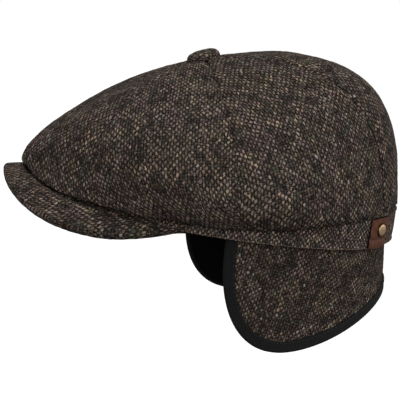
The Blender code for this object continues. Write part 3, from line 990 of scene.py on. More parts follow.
def thread_set(tree, side, along, sign):
    """Height of one set of threads, the number of the nearest thread and the centre of its float."""
    number = maths(tree, "ROUND", side)
    off = maths(tree, "SUBTRACT", side, number)
    parity = maths(tree, "COSINE", maths(tree, "MULTIPLY", number, math.pi))
    parity = maths(tree, "MULTIPLY", parity, sign)
    over = maths(tree, "COSINE", maths(tree, "MULTIPLY", along, math.pi))
    over = maths(tree, "MULTIPLY_ADD", maths(tree, "MULTIPLY", parity, over), 0.5, 0.5)
    rounded = maths(tree, "COSINE", maths(tree, "MULTIPLY", off, math.pi))
    height = maths(tree, "MULTIPLY", over, maths(tree, "POWER", rounded, THREAD_ROUNDNESS))
    half = maths(tree, "MULTIPLY_ADD", parity, -0.5, 0.5)
    step = maths(tree, "ROUND", maths(tree, "MULTIPLY", maths(tree, "SUBTRACT", along, half), 0.5))
    return height, number, maths(tree, "MULTIPLY_ADD", step, 2.0, half)


def heather(tree, place, size, shift, seed):
    """Noise in patches of the given number of threads, drawn out along the warp."""
    drawn = vector_maths(tree, "MULTIPLY", place, (1.0 / size, 0.8 / size, 1.0))
    moved = vector_maths(tree, "ADD", drawn, (shift, seed, seed))
    return clouds(tree, moved, 1.0, 2.5)


def picked(tree, place, chance, colour):
    """Share of one of the heather's colours, which floats pick up by chance and in patches."""
    patches = heather(tree, place, colour.size, colour.shift, colour.seed)
    share = maths(tree, "MULTIPLY_ADD", chance, colour.weight, patches)
    return ramp(tree, share, colour.low, colour.high)


def tinted(tree, colour, place):
    """The colour with slow changes of hue from patch to patch."""
    moved = vector_maths(tree, "ADD", place, (0.0, 23.0, 0.0))
    hues = add_node(tree, "TexNoise", {"Vector": moved, "Scale": HUE_SCALE, "Detail": 1.0})
    tint = blend_colours(tree, HUE_CHANGE, (1.0, 1.0, 1.0, 1), hues.outputs["Color"])
    tint = scaled(tree, tint, 1 / (1 - 0.5 * HUE_CHANGE))
    return blend_colours(tree, 1.0, colour, tint, "MULTIPLY")


def warp_colour(tree, start, place, chance, fibre):
    """Colour of the warp floats: brown, tan, green or dark, each with its own brightness."""
    other = white_noise(tree, vector_maths(tree, "ADD", place, (0.0, 0.0, 3.0)))
    light = picked(tree, place, chance, LIGHT_HEATHER)
    green = picked(tree, place, chance, GREEN_HEATHER)
    dark = picked(tree, place, other, DARK_HEATHER)
    colour = blend_colours(tree, light, start["Brown"], start["Light"])
    colour = blend_colours(tree, green, colour, GREEN_WOOL)
    colour = blend_colours(tree, dark, colour, start["Dark"])
    colour = tinted(tree, colour, place)
    fleck = ramp(tree, other, *FLECK_CHANCE)
    level = maths(tree, "MULTIPLY_ADD", fleck, LEVEL_BY_FLECK, LEVEL_LEAST)
    level = maths(tree, "MULTIPLY_ADD", chance, LEVEL_BY_CHANCE, level)
    level = maths(tree, "MULTIPLY", level, maths(tree, "MULTIPLY_ADD", fibre, *LEVEL_BY_FIBRE))
    patches = maths(tree, "MULTIPLY_ADD", heather(tree, place, *PATCH_PLACE), *LEVEL_BY_PATCH)
    # Brightness scaled for the whole piece: painted light and shade
    level = maths(tree, "MULTIPLY", maths(tree, "MULTIPLY", level, patches), start["Painted Lighting"])
    grey = add_node(tree, "CombineColor", {0: level, 1: level, 2: level}).outputs[0]
    colour = blend_colours(tree, 1.0, colour, grey, "MULTIPLY")
    return blend_colours(tree, ramp(tree, fleck, *FLECK_COLOUR), colour, PALE_FLECK)


def tweed_group():
    """Plain weave with light warp threads over a dark weft, laid over cloth coordinates."""
    t, inputs, end = new_group(
        "heathered_weave",
        (
            ("Cloth", "NodeSocketVector", None),
            ("Warp Spacing", "NodeSocketFloat", WARP_SPACING),
            ("Weft Spacing", "NodeSocketFloat", WEFT_SPACING),
            ("Wander", "NodeSocketFloat", WANDER),
            # Painted light and shade: the brightness of a whole piece, 1 for the cloth as it is
            ("Painted Lighting", "NodeSocketFloat", 1.0),
            ("Brown", "NodeSocketColor", None),
            ("Light", "NodeSocketColor", None),
            ("Dark", "NodeSocketColor", None),
            ("Weft", "NodeSocketColor", None),
        ),
        (("Color", "NodeSocketColor"), ("Height", "NodeSocketFloat")),
    )
    start = inputs.outputs
    spacing = {0: start["Warp Spacing"], 1: start["Weft Spacing"], 2: 1.0}
    spacing = add_node(t, "CombineXYZ", spacing).outputs[0]
    cloth = vector_maths(t, "DIVIDE", start["Cloth"], spacing)
    strays = vector_maths(
        t, "ADD", stray(t, cloth, WANDER_SCALE, start["Wander"]), stray(t, cloth, FRIZZ_SCALE, FRIZZ)
    )
    woven = vector_maths(t, "ADD", cloth, strays)
    u, v = separated(t, woven)[:2]
    warp, column, warp_centre = thread_set(t, u, v, 1.0)
    weft, row, weft_centre = thread_set(t, v, u, -1.0)
    weft = maths(t, "MULTIPLY", weft, WEFT_HEIGHT)
    warp_on_top = ramp(t, maths(t, "SUBTRACT", warp, weft), *WARP_ON_TOP)
    height = maths(t, "SMOOTH_MAX", warp, weft, 0.1)
    warp_place = add_node(t, "CombineXYZ", {0: column, 1: warp_centre, 2: 0.5}).outputs[0]
    weft_place = add_node(t, "CombineXYZ", {0: weft_centre, 1: row, 2: 7.5}).outputs[0]
    chance = white_noise(t, warp_place)
    drawn = vector_maths(t, "MULTIPLY", woven, FIBRE_SCALE)
    fibre = clouds(t, drawn, 1.0, 2.0, 0.6)
    colour = warp_colour(t, start, warp_place, chance, fibre)
    under = blend_colours(t, fibre, start["Weft"], start["Dark"])
    brown = ramp(t, white_noise(t, weft_place), *WEFT_BROWN)
    under = blend_colours(t, brown, under, start["Brown"])
    colour = blend_colours(t, warp_on_top, under, colour)
    size = maths(t, "MULTIPLY_ADD", fibre, SIZE_BY_FIBRE, SIZE_LEAST)
    size = maths(t, "MULTIPLY_ADD", chance, SIZE_BY_CHANCE, size)
    # Low places of the weave turn to the pit colour: painted shade in the hollows between the floats
    raised = ramp(t, maths(t, "MULTIPLY", height, size), *PIT_SHADE_RANGE)
    t.links.new(blend_colours(t, raised, PIT_PAINTED_SHADE, colour), end.inputs["Color"])
    t.links.new(maths(t, "MULTIPLY_ADD", fibre, FIBRE_RELIEF, height), end.inputs["Height"])
    return t


# Materials


def new_material(name, roughness, metallic=0.0, sheen=0.0, specular=0.5):
    """A material, its shader and its cloth coordinates."""
    material = bpy.data.materials.new(name)
    material.use_nodes = True
    tree = material.node_tree
    shader = tree.nodes["Principled BSDF"]
    shader.inputs["Roughness"].default_value = roughness
    shader.inputs["Metallic"].default_value = metallic
    shader.inputs["Sheen Weight"].default_value = sheen
    shader.inputs["Sheen Roughness"].default_value = 0.6
    shader.inputs["Specular IOR Level"].default_value = specular
    cloth = add_node(tree, "UVMap", uv_map="cloth").outputs["UV"]
    return material, tree, shader, cloth


def finish_material(tree, shader, colour, height, distance):
    """Links a material's colour, and its relief, which stands distance metres high."""
    bump = add_node(tree, "Bump", {"Height": height, "Distance": distance, "Strength": 1.0})
    tree.links.new(bump.outputs["Normal"], shader.inputs["Normal"])
    tree.links.new(colour, shader.inputs["Base Color"])


def times(colour, factor):
    """A property's colour made lighter or darker, as a socket takes it."""
    return (*[min(factor * value, 1) for value in colour], 1)


# The last argument is a brightness factor for the whole piece: painted light above 1, painted shade
# below 1
def tweed_material(name="heathered_tweed", painted_lighting=1.0):
    sizes, colours = bpy.context.scene.cap_sizes, bpy.context.scene.cap_colours
    material, tree, shader, cloth = new_material(name, 0.95, specular=0.05)
    weave = tree.nodes.new("ShaderNodeGroup")
    weave.node_tree = bpy.data.node_groups.get("heathered_weave") or tweed_group()
    tree.links.new(cloth, weave.inputs["Cloth"])
    values = {
        "Painted Lighting": painted_lighting,
        "Warp Spacing": sizes.warp_spacing,
        "Weft Spacing": sizes.weft_spacing,
        "Brown": (*colours.wool_brown, 1),
        "Light": (*colours.wool_light, 1),
        "Dark": (*colours.wool_dark, 1),
        "Weft": (*colours.wool_weft, 1),
    }
    for socket, value in values.items():
        weave.inputs[socket].default_value = value
    finish_material(tree, shader, weave.outputs["Color"], weave.outputs["Height"], WEAVE_DEPTH)
    return material


def fleece_material():
    fleece = bpy.context.scene.cap_colours.fleece
    material, tree, shader, cloth = new_material("black_fleece", 1.0, sheen=0.03, specular=0.1)
    tufts = clouds(tree, cloth, 900.0, 5.0, 0.7)
    clumps = add_node(tree, "TexVoronoi", {"Vector": cloth, "Scale": 420.0, "Randomness": 1.0})
    height = maths(tree, "SUBTRACT", tufts, clumps.outputs["Distance"])
    # Darker where the pile is low: painted shade in the hollows between the tufts
    raised = ramp(tree, height, -0.2, 0.5)
    colour = blend_colours(tree, raised, times(fleece, 0.5), times(fleece, 1))
    finish_material(tree, shader, colour, height, 0.0005)
    return material


def tape_material():
    tape = bpy.context.scene.cap_colours.tape
    material, tree, shader, cloth = new_material("black_tape", 0.7, specular=0.22)
    along, across = separated(tree, cloth)[:2]
    ribs = maths(tree, "SINE", maths(tree, "MULTIPLY", along, 2 * math.pi / TAPE_RIB))
    weft = maths(tree, "SINE", maths(tree, "MULTIPLY", across, 2 * math.pi / TAPE_WEFT))
    lint = clouds(tree, cloth, 700.0, 4.0)
    height = maths(tree, "ADD", maths(tree, "MULTIPLY_ADD", weft, 0.25, ribs), lint)
    colour = blend_colours(tree, ramp(tree, lint, 0.45, 0.75), times(tape, 1), times(tape, 1.7))
    finish_material(tree, shader, colour, height, 0.00012)
    return material


def leather_material():
    leather = bpy.context.scene.cap_colours.leather
    material, tree, shader, cloth = new_material("brown_leather", 0.6, specular=0.22)
    pores = add_node(
        tree, "TexVoronoi", {"Vector": cloth, "Scale": 1700.0, "Randomness": 1.0},
        feature="DISTANCE_TO_EDGE",
    )
    drawn = vector_maths(tree, "MULTIPLY", cloth, (1.6, 0.45, 1.0))
    mottle = clouds(tree, drawn, 420.0, 5.0)
    worn = clouds(tree, cloth, 150.0, 3.0)
    cut = ramp(tree, separated(tree, cloth)[0], 0.4 * CUT_EDGE, 0.6 * CUT_EDGE)
    creases = ramp(tree, pores.outputs["Distance"], 0.0, 0.12)
    light = times(leather, 1.5)
    colour = blend_colours(tree, ramp(tree, mottle, 0.3, 0.62), times(leather, 0.35), light)
    colour = blend_colours(tree, ramp(tree, worn, 0.5, 0.9), colour, light)
    in_pore = maths(tree, "MULTIPLY_ADD", creases, -0.35, 0.35)
    colour = blend_colours(tree, in_pore, colour, LEATHER_PORE)
    # The cut sides are painted near black: painted shadow along the tab's edges
    colour = blend_colours(tree, cut, colour, LEATHER_EDGE_PAINTED_SHADOW)
    height = maths(tree, "MULTIPLY_ADD", mottle, 0.8, creases)
    finish_material(tree, shader, colour, height, 0.00012)
    rough = maths(tree, "MULTIPLY_ADD", mottle, 0.25, 0.42)
    tree.links.new(rough, shader.inputs["Roughness"])
    return material


def brass_material():
    brass = bpy.context.scene.cap_colours.brass
    material, tree, shader, cloth = new_material("antique_brass", 0.4, metallic=1.0)
    centre = add_node(tree, "VectorMath", {0: cloth}, operation="LENGTH").outputs["Value"]
    tarnish = clouds(tree, cloth, 900.0, 5.0)
    ring = ramp(tree, centre, 0.76 * STUD_RADIUS, 0.82 * STUD_RADIUS)
    spots = maths(tree, "MULTIPLY", ramp(tree, tarnish, 0.5, 0.62), 0.5)
    colour = blend_colours(tree, spots, times(brass, 1), DARK_BRASS)
    colour = blend_colours(tree, ring, colour, DARK_BRASS)
    finish_material(tree, shader, colour, tarnish, 0.00012)
    rough = maths(tree, "MULTIPLY_ADD", tarnish, 0.3, 0.25)
    tree.links.new(rough, shader.inputs["Roughness"])
    return material


def thread_material():
    tape = bpy.context.scene.cap_colours.tape
    material, tree, shader, cloth = new_material("sewing_thread", 0.6, specular=0.4)
    twist = {"Vector": cloth, "Scale": 1500.0, "Distortion": 2.0}
    twist = add_node(tree, "TexWave", twist).outputs["Fac"]
    colour = blend_colours(tree, twist, times(tape, 2.0), times(tape, 3.2))
    finish_material(tree, shader, colour, twist, 0.00005)
    return material


def wool_thread_material():
    colours = bpy.context.scene.cap_colours
    material, tree, shader, cloth = new_material("wool_thread", 0.95, specular=0.05)
    fuzz = clouds(tree, cloth, 2500.0, 3.0)
    dark, light = (*colours.wool_brown, 1), (*colours.wool_light, 1)
    colour = blend_colours(tree, ramp(tree, fuzz, 0.35, 0.65), dark, light)
    finish_material(tree, shader, colour, fuzz, 0.0001)
    return material


# The same tweed with painted light on the band and painted shade on the flap
def band_painted_light_material():
    return tweed_material("band_tweed_painted_light", BAND_PAINTED_LIGHT)


def flap_painted_shade_material():
    return tweed_material("flap_tweed_painted_shade", FLAP_PAINTED_SHADE)


MAKERS = {
    "tweed": tweed_material,
    "band tweed with painted light": band_painted_light_material,
    "flap tweed with painted shade": flap_painted_shade_material,
    "black_fleece": fleece_material,
    "black_tape": tape_material,
    "brown_leather": leather_material,
    "brass": brass_material,
    "thread": thread_material,
    "wool thread": wool_thread_material,
}
MADE = {}


def material_for(kind):
    """The material of this kind, made once."""
    if kind not in MADE:
        MADE[kind] = MAKERS[kind]()
    return MADE[kind]


# Pieces


def seam_relief(base, cloth, number):
    """Height of a panel's surface near its seams: a sunk line with small gathers beside it."""
    sizes = bpy.context.scene.cap_sizes
    steps = np.linalg.norm(np.diff(base, axis=1), axis=2)
    from_first = np.concatenate([np.zeros((len(base), 1)), np.cumsum(steps, axis=1)], axis=1)
    seam = np.minimum(from_first, from_first[:, -1:] - from_first)
    groove = sizes.seam_depth * np.exp(-((seam / sizes.seam_width) ** SEAM_SHARPNESS))
    drift = GATHER_DRIFT * soft_noise(base, GATHER_PATCH, number)
    gathers = np.sin(cloth[..., 1] / GATHER_LENGTH + drift)
    beside = np.exp(-seam / GATHER_REACH) * (1 - np.exp(-seam / GATHER_START))
    return gathers * beside * sizes.pucker - groove


def crown_panel(number):
    """Outer grid, inner grid and cloth coordinates of one panel on the wearer's left."""
    sizes = bpy.context.scene.cap_sizes
    panels = len(SEAMS) - 1
    first, last = math.pi * (number - 1) / panels, math.pi * number / panels
    even = np.linspace(0, 1, PANEL_COLUMNS + 1)
    shares = mix(even, 0.5 - 0.5 * np.cos(np.pi * even), SEAM_CROWDING)
    beyond = STEP * 2
    thetas = np.concatenate([[first - beyond], first + (last - first) * shares, [last + beyond]])
    stations = crown_stations((first + last) / 2)
    wide = crown_grid(thetas, stations)
    rows = np.concatenate([[0.0], stations[1:]])
    outward = outward_of(wide)[:, 1:-1]
    base = wide[:, 1:-1]
    cloth = laid_flat(base)
    puff = PANEL_PUFF * np.sin(np.pi * shares)[None, :] ** PANEL_PUFF_POINT
    puff = puff * np.sin(np.pi * np.minimum(rows / PANEL_PUFF_END, 1.0))[:, None]
    small = SOFT_SMALL_SHARE * soft_noise(base, SOFT_SMALL_SIZE, 2)
    soft = sizes.unevenness * (soft_noise(base, SOFT_SIZE, 1) + small)
    back = [ease((theta - REAR_TRIM_START) / REAR_TRIM_SPREAD) for theta in thetas[1:-1]]
    trim = CROWN_REAR_TRIM * np.array(back)[None, :]
    outer_trim = trim * np.interp(rows, *zip(*REAR_TRIM_ROWS))[:, None]
    inner_trim = trim * np.exp(-(((rows - INNER_TRIM_ROW) / INNER_TRIM_SPREAD) ** 4))[:, None]
    relief = seam_relief(base, cloth, number) + nap_of(base)
    outer = base + outward * (puff + soft + relief - outer_trim)[..., None]
    inner = base + outward * (puff + soft - CLOTH_THICKNESS - inner_trim)[..., None]
    return outer, inner, cloth


def build_crown():
    """The eight panels, those on the wearer's right mirrored from those on the left."""
    for number in range(1, len(SEAMS)):
        outer, inner, cloth = crown_panel(number)
        grain = PANEL_GRAINS[number - 1]
        drawn = cloth / np.array(CROWN_STRETCH)
        turned_over = drawn[:, ::-1] * np.array([-1, 1])
        left = turned(drawn, grain, (PANEL_SHIFT * number, LEFT_SHIFT))
        right = turned(turned_over, -grain, (PANEL_SHIFT * number, RIGHT_SHIFT))
        sides = {
            "left": shell(outer, inner, left),
            "right": shell(mirrored(outer), mirrored(inner), right),
        }
        for side, grids in sides.items():
            name, node = f"crown_{side}_{number}", f"crown_panel_{side}_{number}"
            piece = add_piece(name, grids, material_for("tweed"), "tweed", node)


def build_button():
    """The covered button, its cloth drawn together underneath."""
    radius, height, along = lathe(BUTTON_PROFILE, BUTTON_ROWS, BUTTON_RADIUS, BUTTON_HEIGHT)
    angle = np.linspace(0, 2 * np.pi, BUTTON_COLUMNS + 1)
    pleated = (along / along[-1] > BUTTON_PLEAT_START)[:, None]
    folds = 1 + BUTTON_PLEAT_DEPTH * np.sin(BUTTON_PLEATS * angle)[None, :] * pleated
    x = radius[:, None] * np.cos(angle)[None] * folds
    y = radius[:, None] * np.sin(angle)[None] * folds
    grid = np.stack([x, y, np.repeat(height[:, None], len(angle), 1)], -1)
    grid[..., 2] *= 1 + BUTTON_SKEW * grid[..., 1] / BUTTON_RADIUS
    grid[..., 2] -= BUTTON_SINK
    lean = Matrix.Rotation(BUTTON_SEAT_LEAN, 3, "X")
    seat = Vector((0, -BUTTON_SEAT_FORWARD, BUTTON_SEAT_HEIGHT)) + lean @ Vector((0, 0, GAP))
    placed = grid @ np.array(lean).T + np.array(seat)
    nap = BUTTON_NAP * bpy.context.scene.cap_sizes.nap * soft_noise(placed, BUTTON_NAP_SIZE, 9)
    placed = placed + unit(placed - placed.mean(axis=(0, 1))) * nap[..., None]
    placed[:, -1] = placed[:, 0]
    run = along[:, None] * BUTTON_RADIUS
    cloth = np.stack([run * np.cos(angle), run * np.sin(angle)], -1)
    cloth = turned(cloth / BUTTON_STRETCH, BUTTON_GRAIN) + BUTTON_SHIFT
    add_piece("button", [(placed, cloth)], material_for("tweed"), "tweed", "top_button")


def band_edge(turn, height):
    """A height on the band, whose lower edge rises at the back."""
    turn = min(turn, 2 * math.pi - turn)
    rise = BAND_REAR_RISE * ease((turn - BAND_REAR_RISE_START) / BAND_REAR_RISE_SPREAD)
    return band_low(turn) + height + rise * (1 - height / BAND_HEIGHT)


def lip(height):
    """How far the band's lower fold stands out."""
    return BAND_LIP * math.exp(-(((height - BAND_LIP_HEIGHT) / BAND_LIP_WIDTH) ** 2))


def band_profile():
    """Outs and heights round the folded strip, from the top of its outside back to there."""
    soft, wall = BAND_EDGE_RADIUS, BAND_WALL
    corner = [(1 - math.sin(a), 1 - math.cos(a)) for a in np.linspace(0, math.pi / 2, 6)]
    upper = [(0.0, y) for y in np.linspace(BAND_HEIGHT - soft, 4 * soft, 26)]
    lower = [(0.0, y) for y in np.linspace(4 * soft, soft, 10)[1:]]
    bottom = [(-soft * x, soft * y) for y, x in corner]
    inner_bottom = [(-wall + soft * x, soft * y) for y, x in corner[::-1]]
    inside = [(-wall, y) for y in np.linspace(soft, BAND_HEIGHT - soft, 10)]
    top_inner = [(-wall + soft * x, BAND_HEIGHT - soft * y) for y, x in corner]
    top_outer = [(-soft * x, BAND_HEIGHT - soft * y) for y, x in corner[::-1]]
    return upper + lower + bottom[1:] + inner_bottom + inside[1:] + top_inner[1:] + top_outer


def band_sink(turn, heights):
    """How far the band lies in under the crown's fold."""
    crease = crease_height(max(min(turn, 2 * math.pi - turn), VISOR_TURN))
    return [BAND_SINK * ease((h - crease + BAND_SINK_START) / BAND_SINK_WIDTH) for h in heights]


def build_band():
    """The band as a folded strip of cloth, softly rounded at both edges."""
    turns = np.linspace(0, 2 * math.pi, BAND_COLUMNS + 1)
    profile = band_profile()
    heights = np.array([height for _, height in profile])
    outside = np.array([out > -BAND_WALL / 2 for out, _ in profile])[:, None]
    rows = []
    for out, height in profile:
        out += lip(height) * (out > -BAND_WALL / 2)
        rows.append([list(band_point(turn, out, band_edge(turn, height))) for turn in turns])
    grid = np.array(rows)
    outward = [list((band_point(t, 1, 0) - band_point(t, 0, 0)).normalized()) for t in turns]
    soft = BAND_SOFTNESS * bpy.context.scene.cap_sizes.unevenness * soft_noise(grid, BAND_SOFT_SIZE, 4)
    puff = BAND_PUFF * np.sin(np.pi * heights / BAND_HEIGHT)[:, None]
    sink = np.array([band_sink(turn, heights) for turn in turns]).T
    lift = (puff + soft + nap_of(grid) - sink) * outside
    grid = grid + np.array(outward)[None] * lift[..., None]
    grid[:, -1] = grid[:, 0]
    lengths = running([math.dist(a, b) for a, b in zip(profile, profile[1:])])
    cloth = np.stack(np.meshgrid(girth_at(turns), lengths), -1) / np.array(BAND_STRETCH)
    grids = closed(grid, turned(cloth, BAND_GRAIN, BAND_SHIFT))
    add_piece("band", grids, material_for("band tweed with painted light"), "tweed", "head_band")
    build_band_threads()


def build_band_threads():
    """The pale threads that show along the band's lower fold."""
    step = bpy.context.scene.cap_sizes.thread_step
    around = np.linspace(0, 2 * math.pi, 4 * BAND_COLUMNS)
    run = girth_at(around)
    count = int(run[-1] / step)
    chance = np.random.default_rng(3).random((count, 2))
    grids = []
    for i in range(count):
        middle = (i + 0.5 + WOOL_THREAD_JITTER * (chance[i, 0] - 0.5)) * run[-1] / count
        reach = step * mix(WOOL_THREAD_SHORTEST, WOOL_THREAD_LONGEST, chance[i, 1])
        points = []
        for share in np.linspace(-1, 1, THREAD_POINTS):
            turn = float(np.interp(middle + share * reach, run, around))
            height = WOOL_THREAD_HEIGHT + WOOL_THREAD_SLANT * share * (2 * chance[i, 1] - 1)
            out = lip(height) + WOOL_THREAD_RISE * (1 - share * share) - WOOL_THREAD_SUNK
            points.append(band_point(turn, out, band_edge(turn, height)))
        grids.append(thread_grid(points, WOOL_THREAD_RADIUS))
    add_piece("band_threads", grids, material_for("wool thread"), "tweed")


def visor_profile(width):
    """Shares and heights round the board, from the band over its top, its rim and its underside."""
    half = VISOR_THICKNESS / 2
    rounding = min(half, width / 2) / width
    flat = [(share * (1 - rounding), half) for share in np.linspace(0, 1, VISOR_ROWS)]
    rim = []
    for a in np.linspace(0, math.pi, VISOR_RIM_ROWS + 2)[1:-1]:
        rim.append((1 - rounding * (1 - math.sin(a)), half * math.cos(a)))
    return flat + rim + [(share, -above) for share, above in reversed(flat)]


def visor_sink(fan, width, shares):
    """How deep the cloth lies under the crown's fold, at these shares of the visor's width."""
    reach = mix(CROWN_ON_VISOR_CORNER, CROWN_ON_VISOR_MIDDLE, math.cos(fan) ** 2)
    depth = VISOR_SINK * min(width / VISOR_FULL_WIDTH, 1.0)
    start = VISOR_SINK_START * VISOR_SINK_WIDTH + VISOR_SINK_TUCK * HEM_TUCK * math.sin(fan) ** 2
    return [depth * ease(((reach - share) * width + start) / VISOR_SINK_WIDTH) for share in shares]


def visor_cloth_map(grid):
    """Cloth coordinates of the visor: its top eased flat, its underside carried on from the rim."""
    rim_row = VISOR_ROWS + VISOR_RIM_ROWS // 2
    top, below = grid[: rim_row + 1], grid[rim_row + 1 :]
    top_cloth = relaxed(np.stack([top[..., 0], -top[..., 1]], -1), top)
    return np.concatenate([top_cloth, top_cloth[-1] + (below - top[-1])[..., :2]])


def build_visor():
    """The visor's cloth, drawn over the board and round its rim."""
    sizes = bpy.context.scene.cap_sizes
    fans = np.linspace(-VISOR_END, VISOR_END, VISOR_COLUMNS + 1) * math.pi / 2
    widths = [(visor_rim(fan) - visor_root(fan)).length for fan in fans]
    profiles = [visor_profile(width) for width in widths]
    columns = [
        [list(visor_surface(fan, share, above)) for share, above in profile]
        for fan, profile in zip(fans, profiles)
    ]
    grid = np.array(columns).transpose(1, 0, 2)
    shares = np.array([[share for share, _ in profile] for profile in profiles]).T
    outward = outward_of(grid)
    lift = VISOR_SOFTNESS * sizes.unevenness * soft_noise(grid, VISOR_SOFT_SIZE, 5) + nap_of(grid)
    full = np.clip((shares - VISOR_FULLNESS_START) / VISOR_FULLNESS_SPREAD, 0, 1)
    lift += VISOR_FULLNESS * full
    for i, (fan, width) in enumerate(zip(fans, widths)):
        lift[:VISOR_ROWS, i] -= visor_sink(fan, width, shares[:VISOR_ROWS, i])
    grid = grid + outward * lift[..., None]
    across = np.abs(np.sin(fans))
    corner = np.exp(-(((1 - across) / VISOR_CORNER_WIDTH) ** 2))
    side = np.exp(-(((VISOR_SIDE_PLACE - across) / VISOR_SIDE_WIDTH) ** 2))
    grid[..., 2] += VISOR_CORNER_LIFT * corner - VISOR_SIDE_DROP * side
    cloth = turned(visor_cloth_map(grid) / np.array(VISOR_STRETCH), VISOR_GRAIN, VISOR_SHIFT)
    grids = closed(grid, cloth, VISOR_STRIP_SHIFT)
    add_piece("visor_cloth", grids, material_for("tweed"), "tweed", "visor", close=True)


def flap_layer(near, far):
    """Outer grid, inner grid and cloth coordinates of one layer of the whole flap."""
    us = np.linspace(0, 1, FLAP_COLUMNS + 1)
    vs = np.linspace(0, 1, FLAP_ROWS + 1)
    places = [[flap_patch(u, v) for u in us] for v in vs]
    rows = [row + [Vector((2 * math.pi - p.x, p.y)) for p in row[-2::-1]] for row in places]
    outer = np.array([[list(flap_point(p.x, p.y, near)) for p in row] for row in rows])
    inner = np.array([[list(flap_point(p.x, p.y, far)) for p in row] for row in rows])
    cloth = np.array([[[p.x * length_per_turn(math.pi / 2), -p.y] for p in row] for row in rows])
    return outer, inner, relaxed(cloth, outer)


def build_flap_cloth():
    """The tweed layer of the flap."""
    outer, inner, cloth = flap_layer(GAP / 2 + FLAP_CLOTH, GAP / 2)
    soft = FLAP_SOFTNESS * bpy.context.scene.cap_sizes.unevenness * soft_noise(outer, FLAP_SOFT_SIZE, 6)
    outer = outer + outward_of(outer) * (soft + nap_of(outer))[..., None]
    grids = shell(outer, inner, turned(cloth, FLAP_GRAIN, FLAP_SHIFT))
    piece = add_piece("flap_cloth", grids, material_for("flap tweed with painted shade"), "tweed", "earflap_outer")


def build_flap_lining():
    """The fleece layer of the flap, with its pile on the wearer's side."""
    outer, inner, cloth = flap_layer(-GAP / 2, -GAP / 2 - FLEECE_THICKNESS)
    clumps = FLEECE_CLUMP_SHARE * soft_noise(inner, FLEECE_CLUMP, 8)
    pile = bpy.context.scene.cap_sizes.fleece_pile * (soft_noise(inner, FLEECE_TUFT, 7) + clumps)
    inner = inner - outward_of(inner) * pile[..., None]
    material = material_for("black_fleece")
    piece = add_piece(
        "flap_lining", shell(outer, inner, cloth), material, "black_fleece", "earflap_lining"
    )


def tape_slots():
    """How far out the inner faces of the tape lie, over the tweed and under the fleece."""
    return FLAP_CLOTH + GAP / 2 + GAP, -(FLEECE_THICKNESS + GAP / 2 + GAP)


def tape_profile():
    """Insets and outs all round the tape, from its outer edge over the fold and back inside."""
    over, under = tape_slots()
    outer, inner = over + TAPE_THICKNESS, under - TAPE_THICKNESS
    middle, half = (outer + inner) / 2, (outer - inner) / 2
    outside = [(x, outer) for x in np.linspace(TAPE_WIDTH, TAPE_FOLD, 12)]
    bend = []
    for a in np.linspace(0, math.pi, 13)[1:-1]:
        bend.append((TAPE_FOLD * (1 - math.sin(a)), middle + half * math.cos(a)))
    inside = [(x, inner) for x in np.linspace(TAPE_FOLD, TAPE_WIDTH_INSIDE, 8)[1:]]
    return outside + bend + inside


def build_binding():
    """The tape that wraps the flap's edge, and the line of stitches that holds it."""
    over, under = tape_slots()
    profile = tape_profile()
    back = [(TAPE_WIDTH_INSIDE, under), (TAPE_THICKNESS, under), (TAPE_THICKNESS, over)]
    loop = profile + back + [(TAPE_WIDTH, over), profile[0]]
    shares = np.linspace(TAPE_START, 1.0, TAPE_COLUMNS + 1)
    half = np.array(
        [[list(flap_point(*inside_edge(share, inset), out)) for inset, out in loop] for share in shares]
    )
    run = running(np.linalg.norm(np.diff(half[:, len(profile) // 2], axis=0), axis=1))
    right = half[-2::-1] * np.array([-1, 1, 1])
    grid = np.concatenate([half, right]).transpose(1, 0, 2)
    runs = np.concatenate([run, 2 * run[-1] - run[-2::-1]])
    around = running([math.dist(a, b) for a, b in zip(loop, loop[1:])])
    cloth = np.stack(np.meshgrid(runs, around), -1)
    tape = material_for("black_tape")
    add_piece("flap_binding", [(grid, cloth)], tape, "black_tape", "earflap_binding", close=True)
    build_stitches(run[-1])


def build_stitches(run):
    """Small raised stitches along the tape's outer edge, all in one mesh."""
    out = tape_slots()[0] + TAPE_THICKNESS
    inset = TAPE_WIDTH - STITCH_FROM_EDGE
    count = int(run / bpy.context.scene.cap_sizes.stitch_length)
    reach = STITCH_REACH * (1.0 - TAPE_START) / count
    grids = []
    for i in range(count):
        middle = mix(TAPE_START, 1.0, (i + 0.5) / count)
        for sign in (1, -1):
            points = []
            for share in np.linspace(-1, 1, THREAD_POINTS):
                lift = STITCH_RISE * (1 - share * share) - STITCH_SUNK
                p = flap_point(*inside_edge(middle + share * reach, inset), out + lift)
                points.append(Vector((sign * p.x, p.y, p.z)))
            grids.append(thread_grid(points, STITCH_RADIUS))
    add_piece("binding_stitches", grids, material_for("thread"), "black_tape")


def thread_grid(points, radius):
    """A short round thread along points, thin at its ends."""
    path = np.array([list(p) for p in points])
    along = unit(np.gradient(path, axis=0))
    side = unit(np.cross(along, [0.0, 0.0, 1.0]))
    other = np.cross(along, side)
    ends = np.sqrt(np.maximum(1 - np.linspace(-1, 1, len(path)) ** 4, 0.0))
    angle = np.linspace(0, 2 * np.pi, THREAD_SIDES + 1)
    c, s = np.cos(angle)[None, :, None], np.sin(angle)[None, :, None]
    ring = c * side[:, None] + s * other[:, None]
    grid = path[:, None] + ring * (radius * ends)[:, None, None]
    grid[:, -1] = grid[:, 0]
    length = running(np.linalg.norm(np.diff(path, axis=0), axis=1))
    lengths = np.repeat(length[:, None], len(angle), 1)
    return grid, np.stack([lengths, np.repeat(radius * angle[None], len(path), 0)], -1)


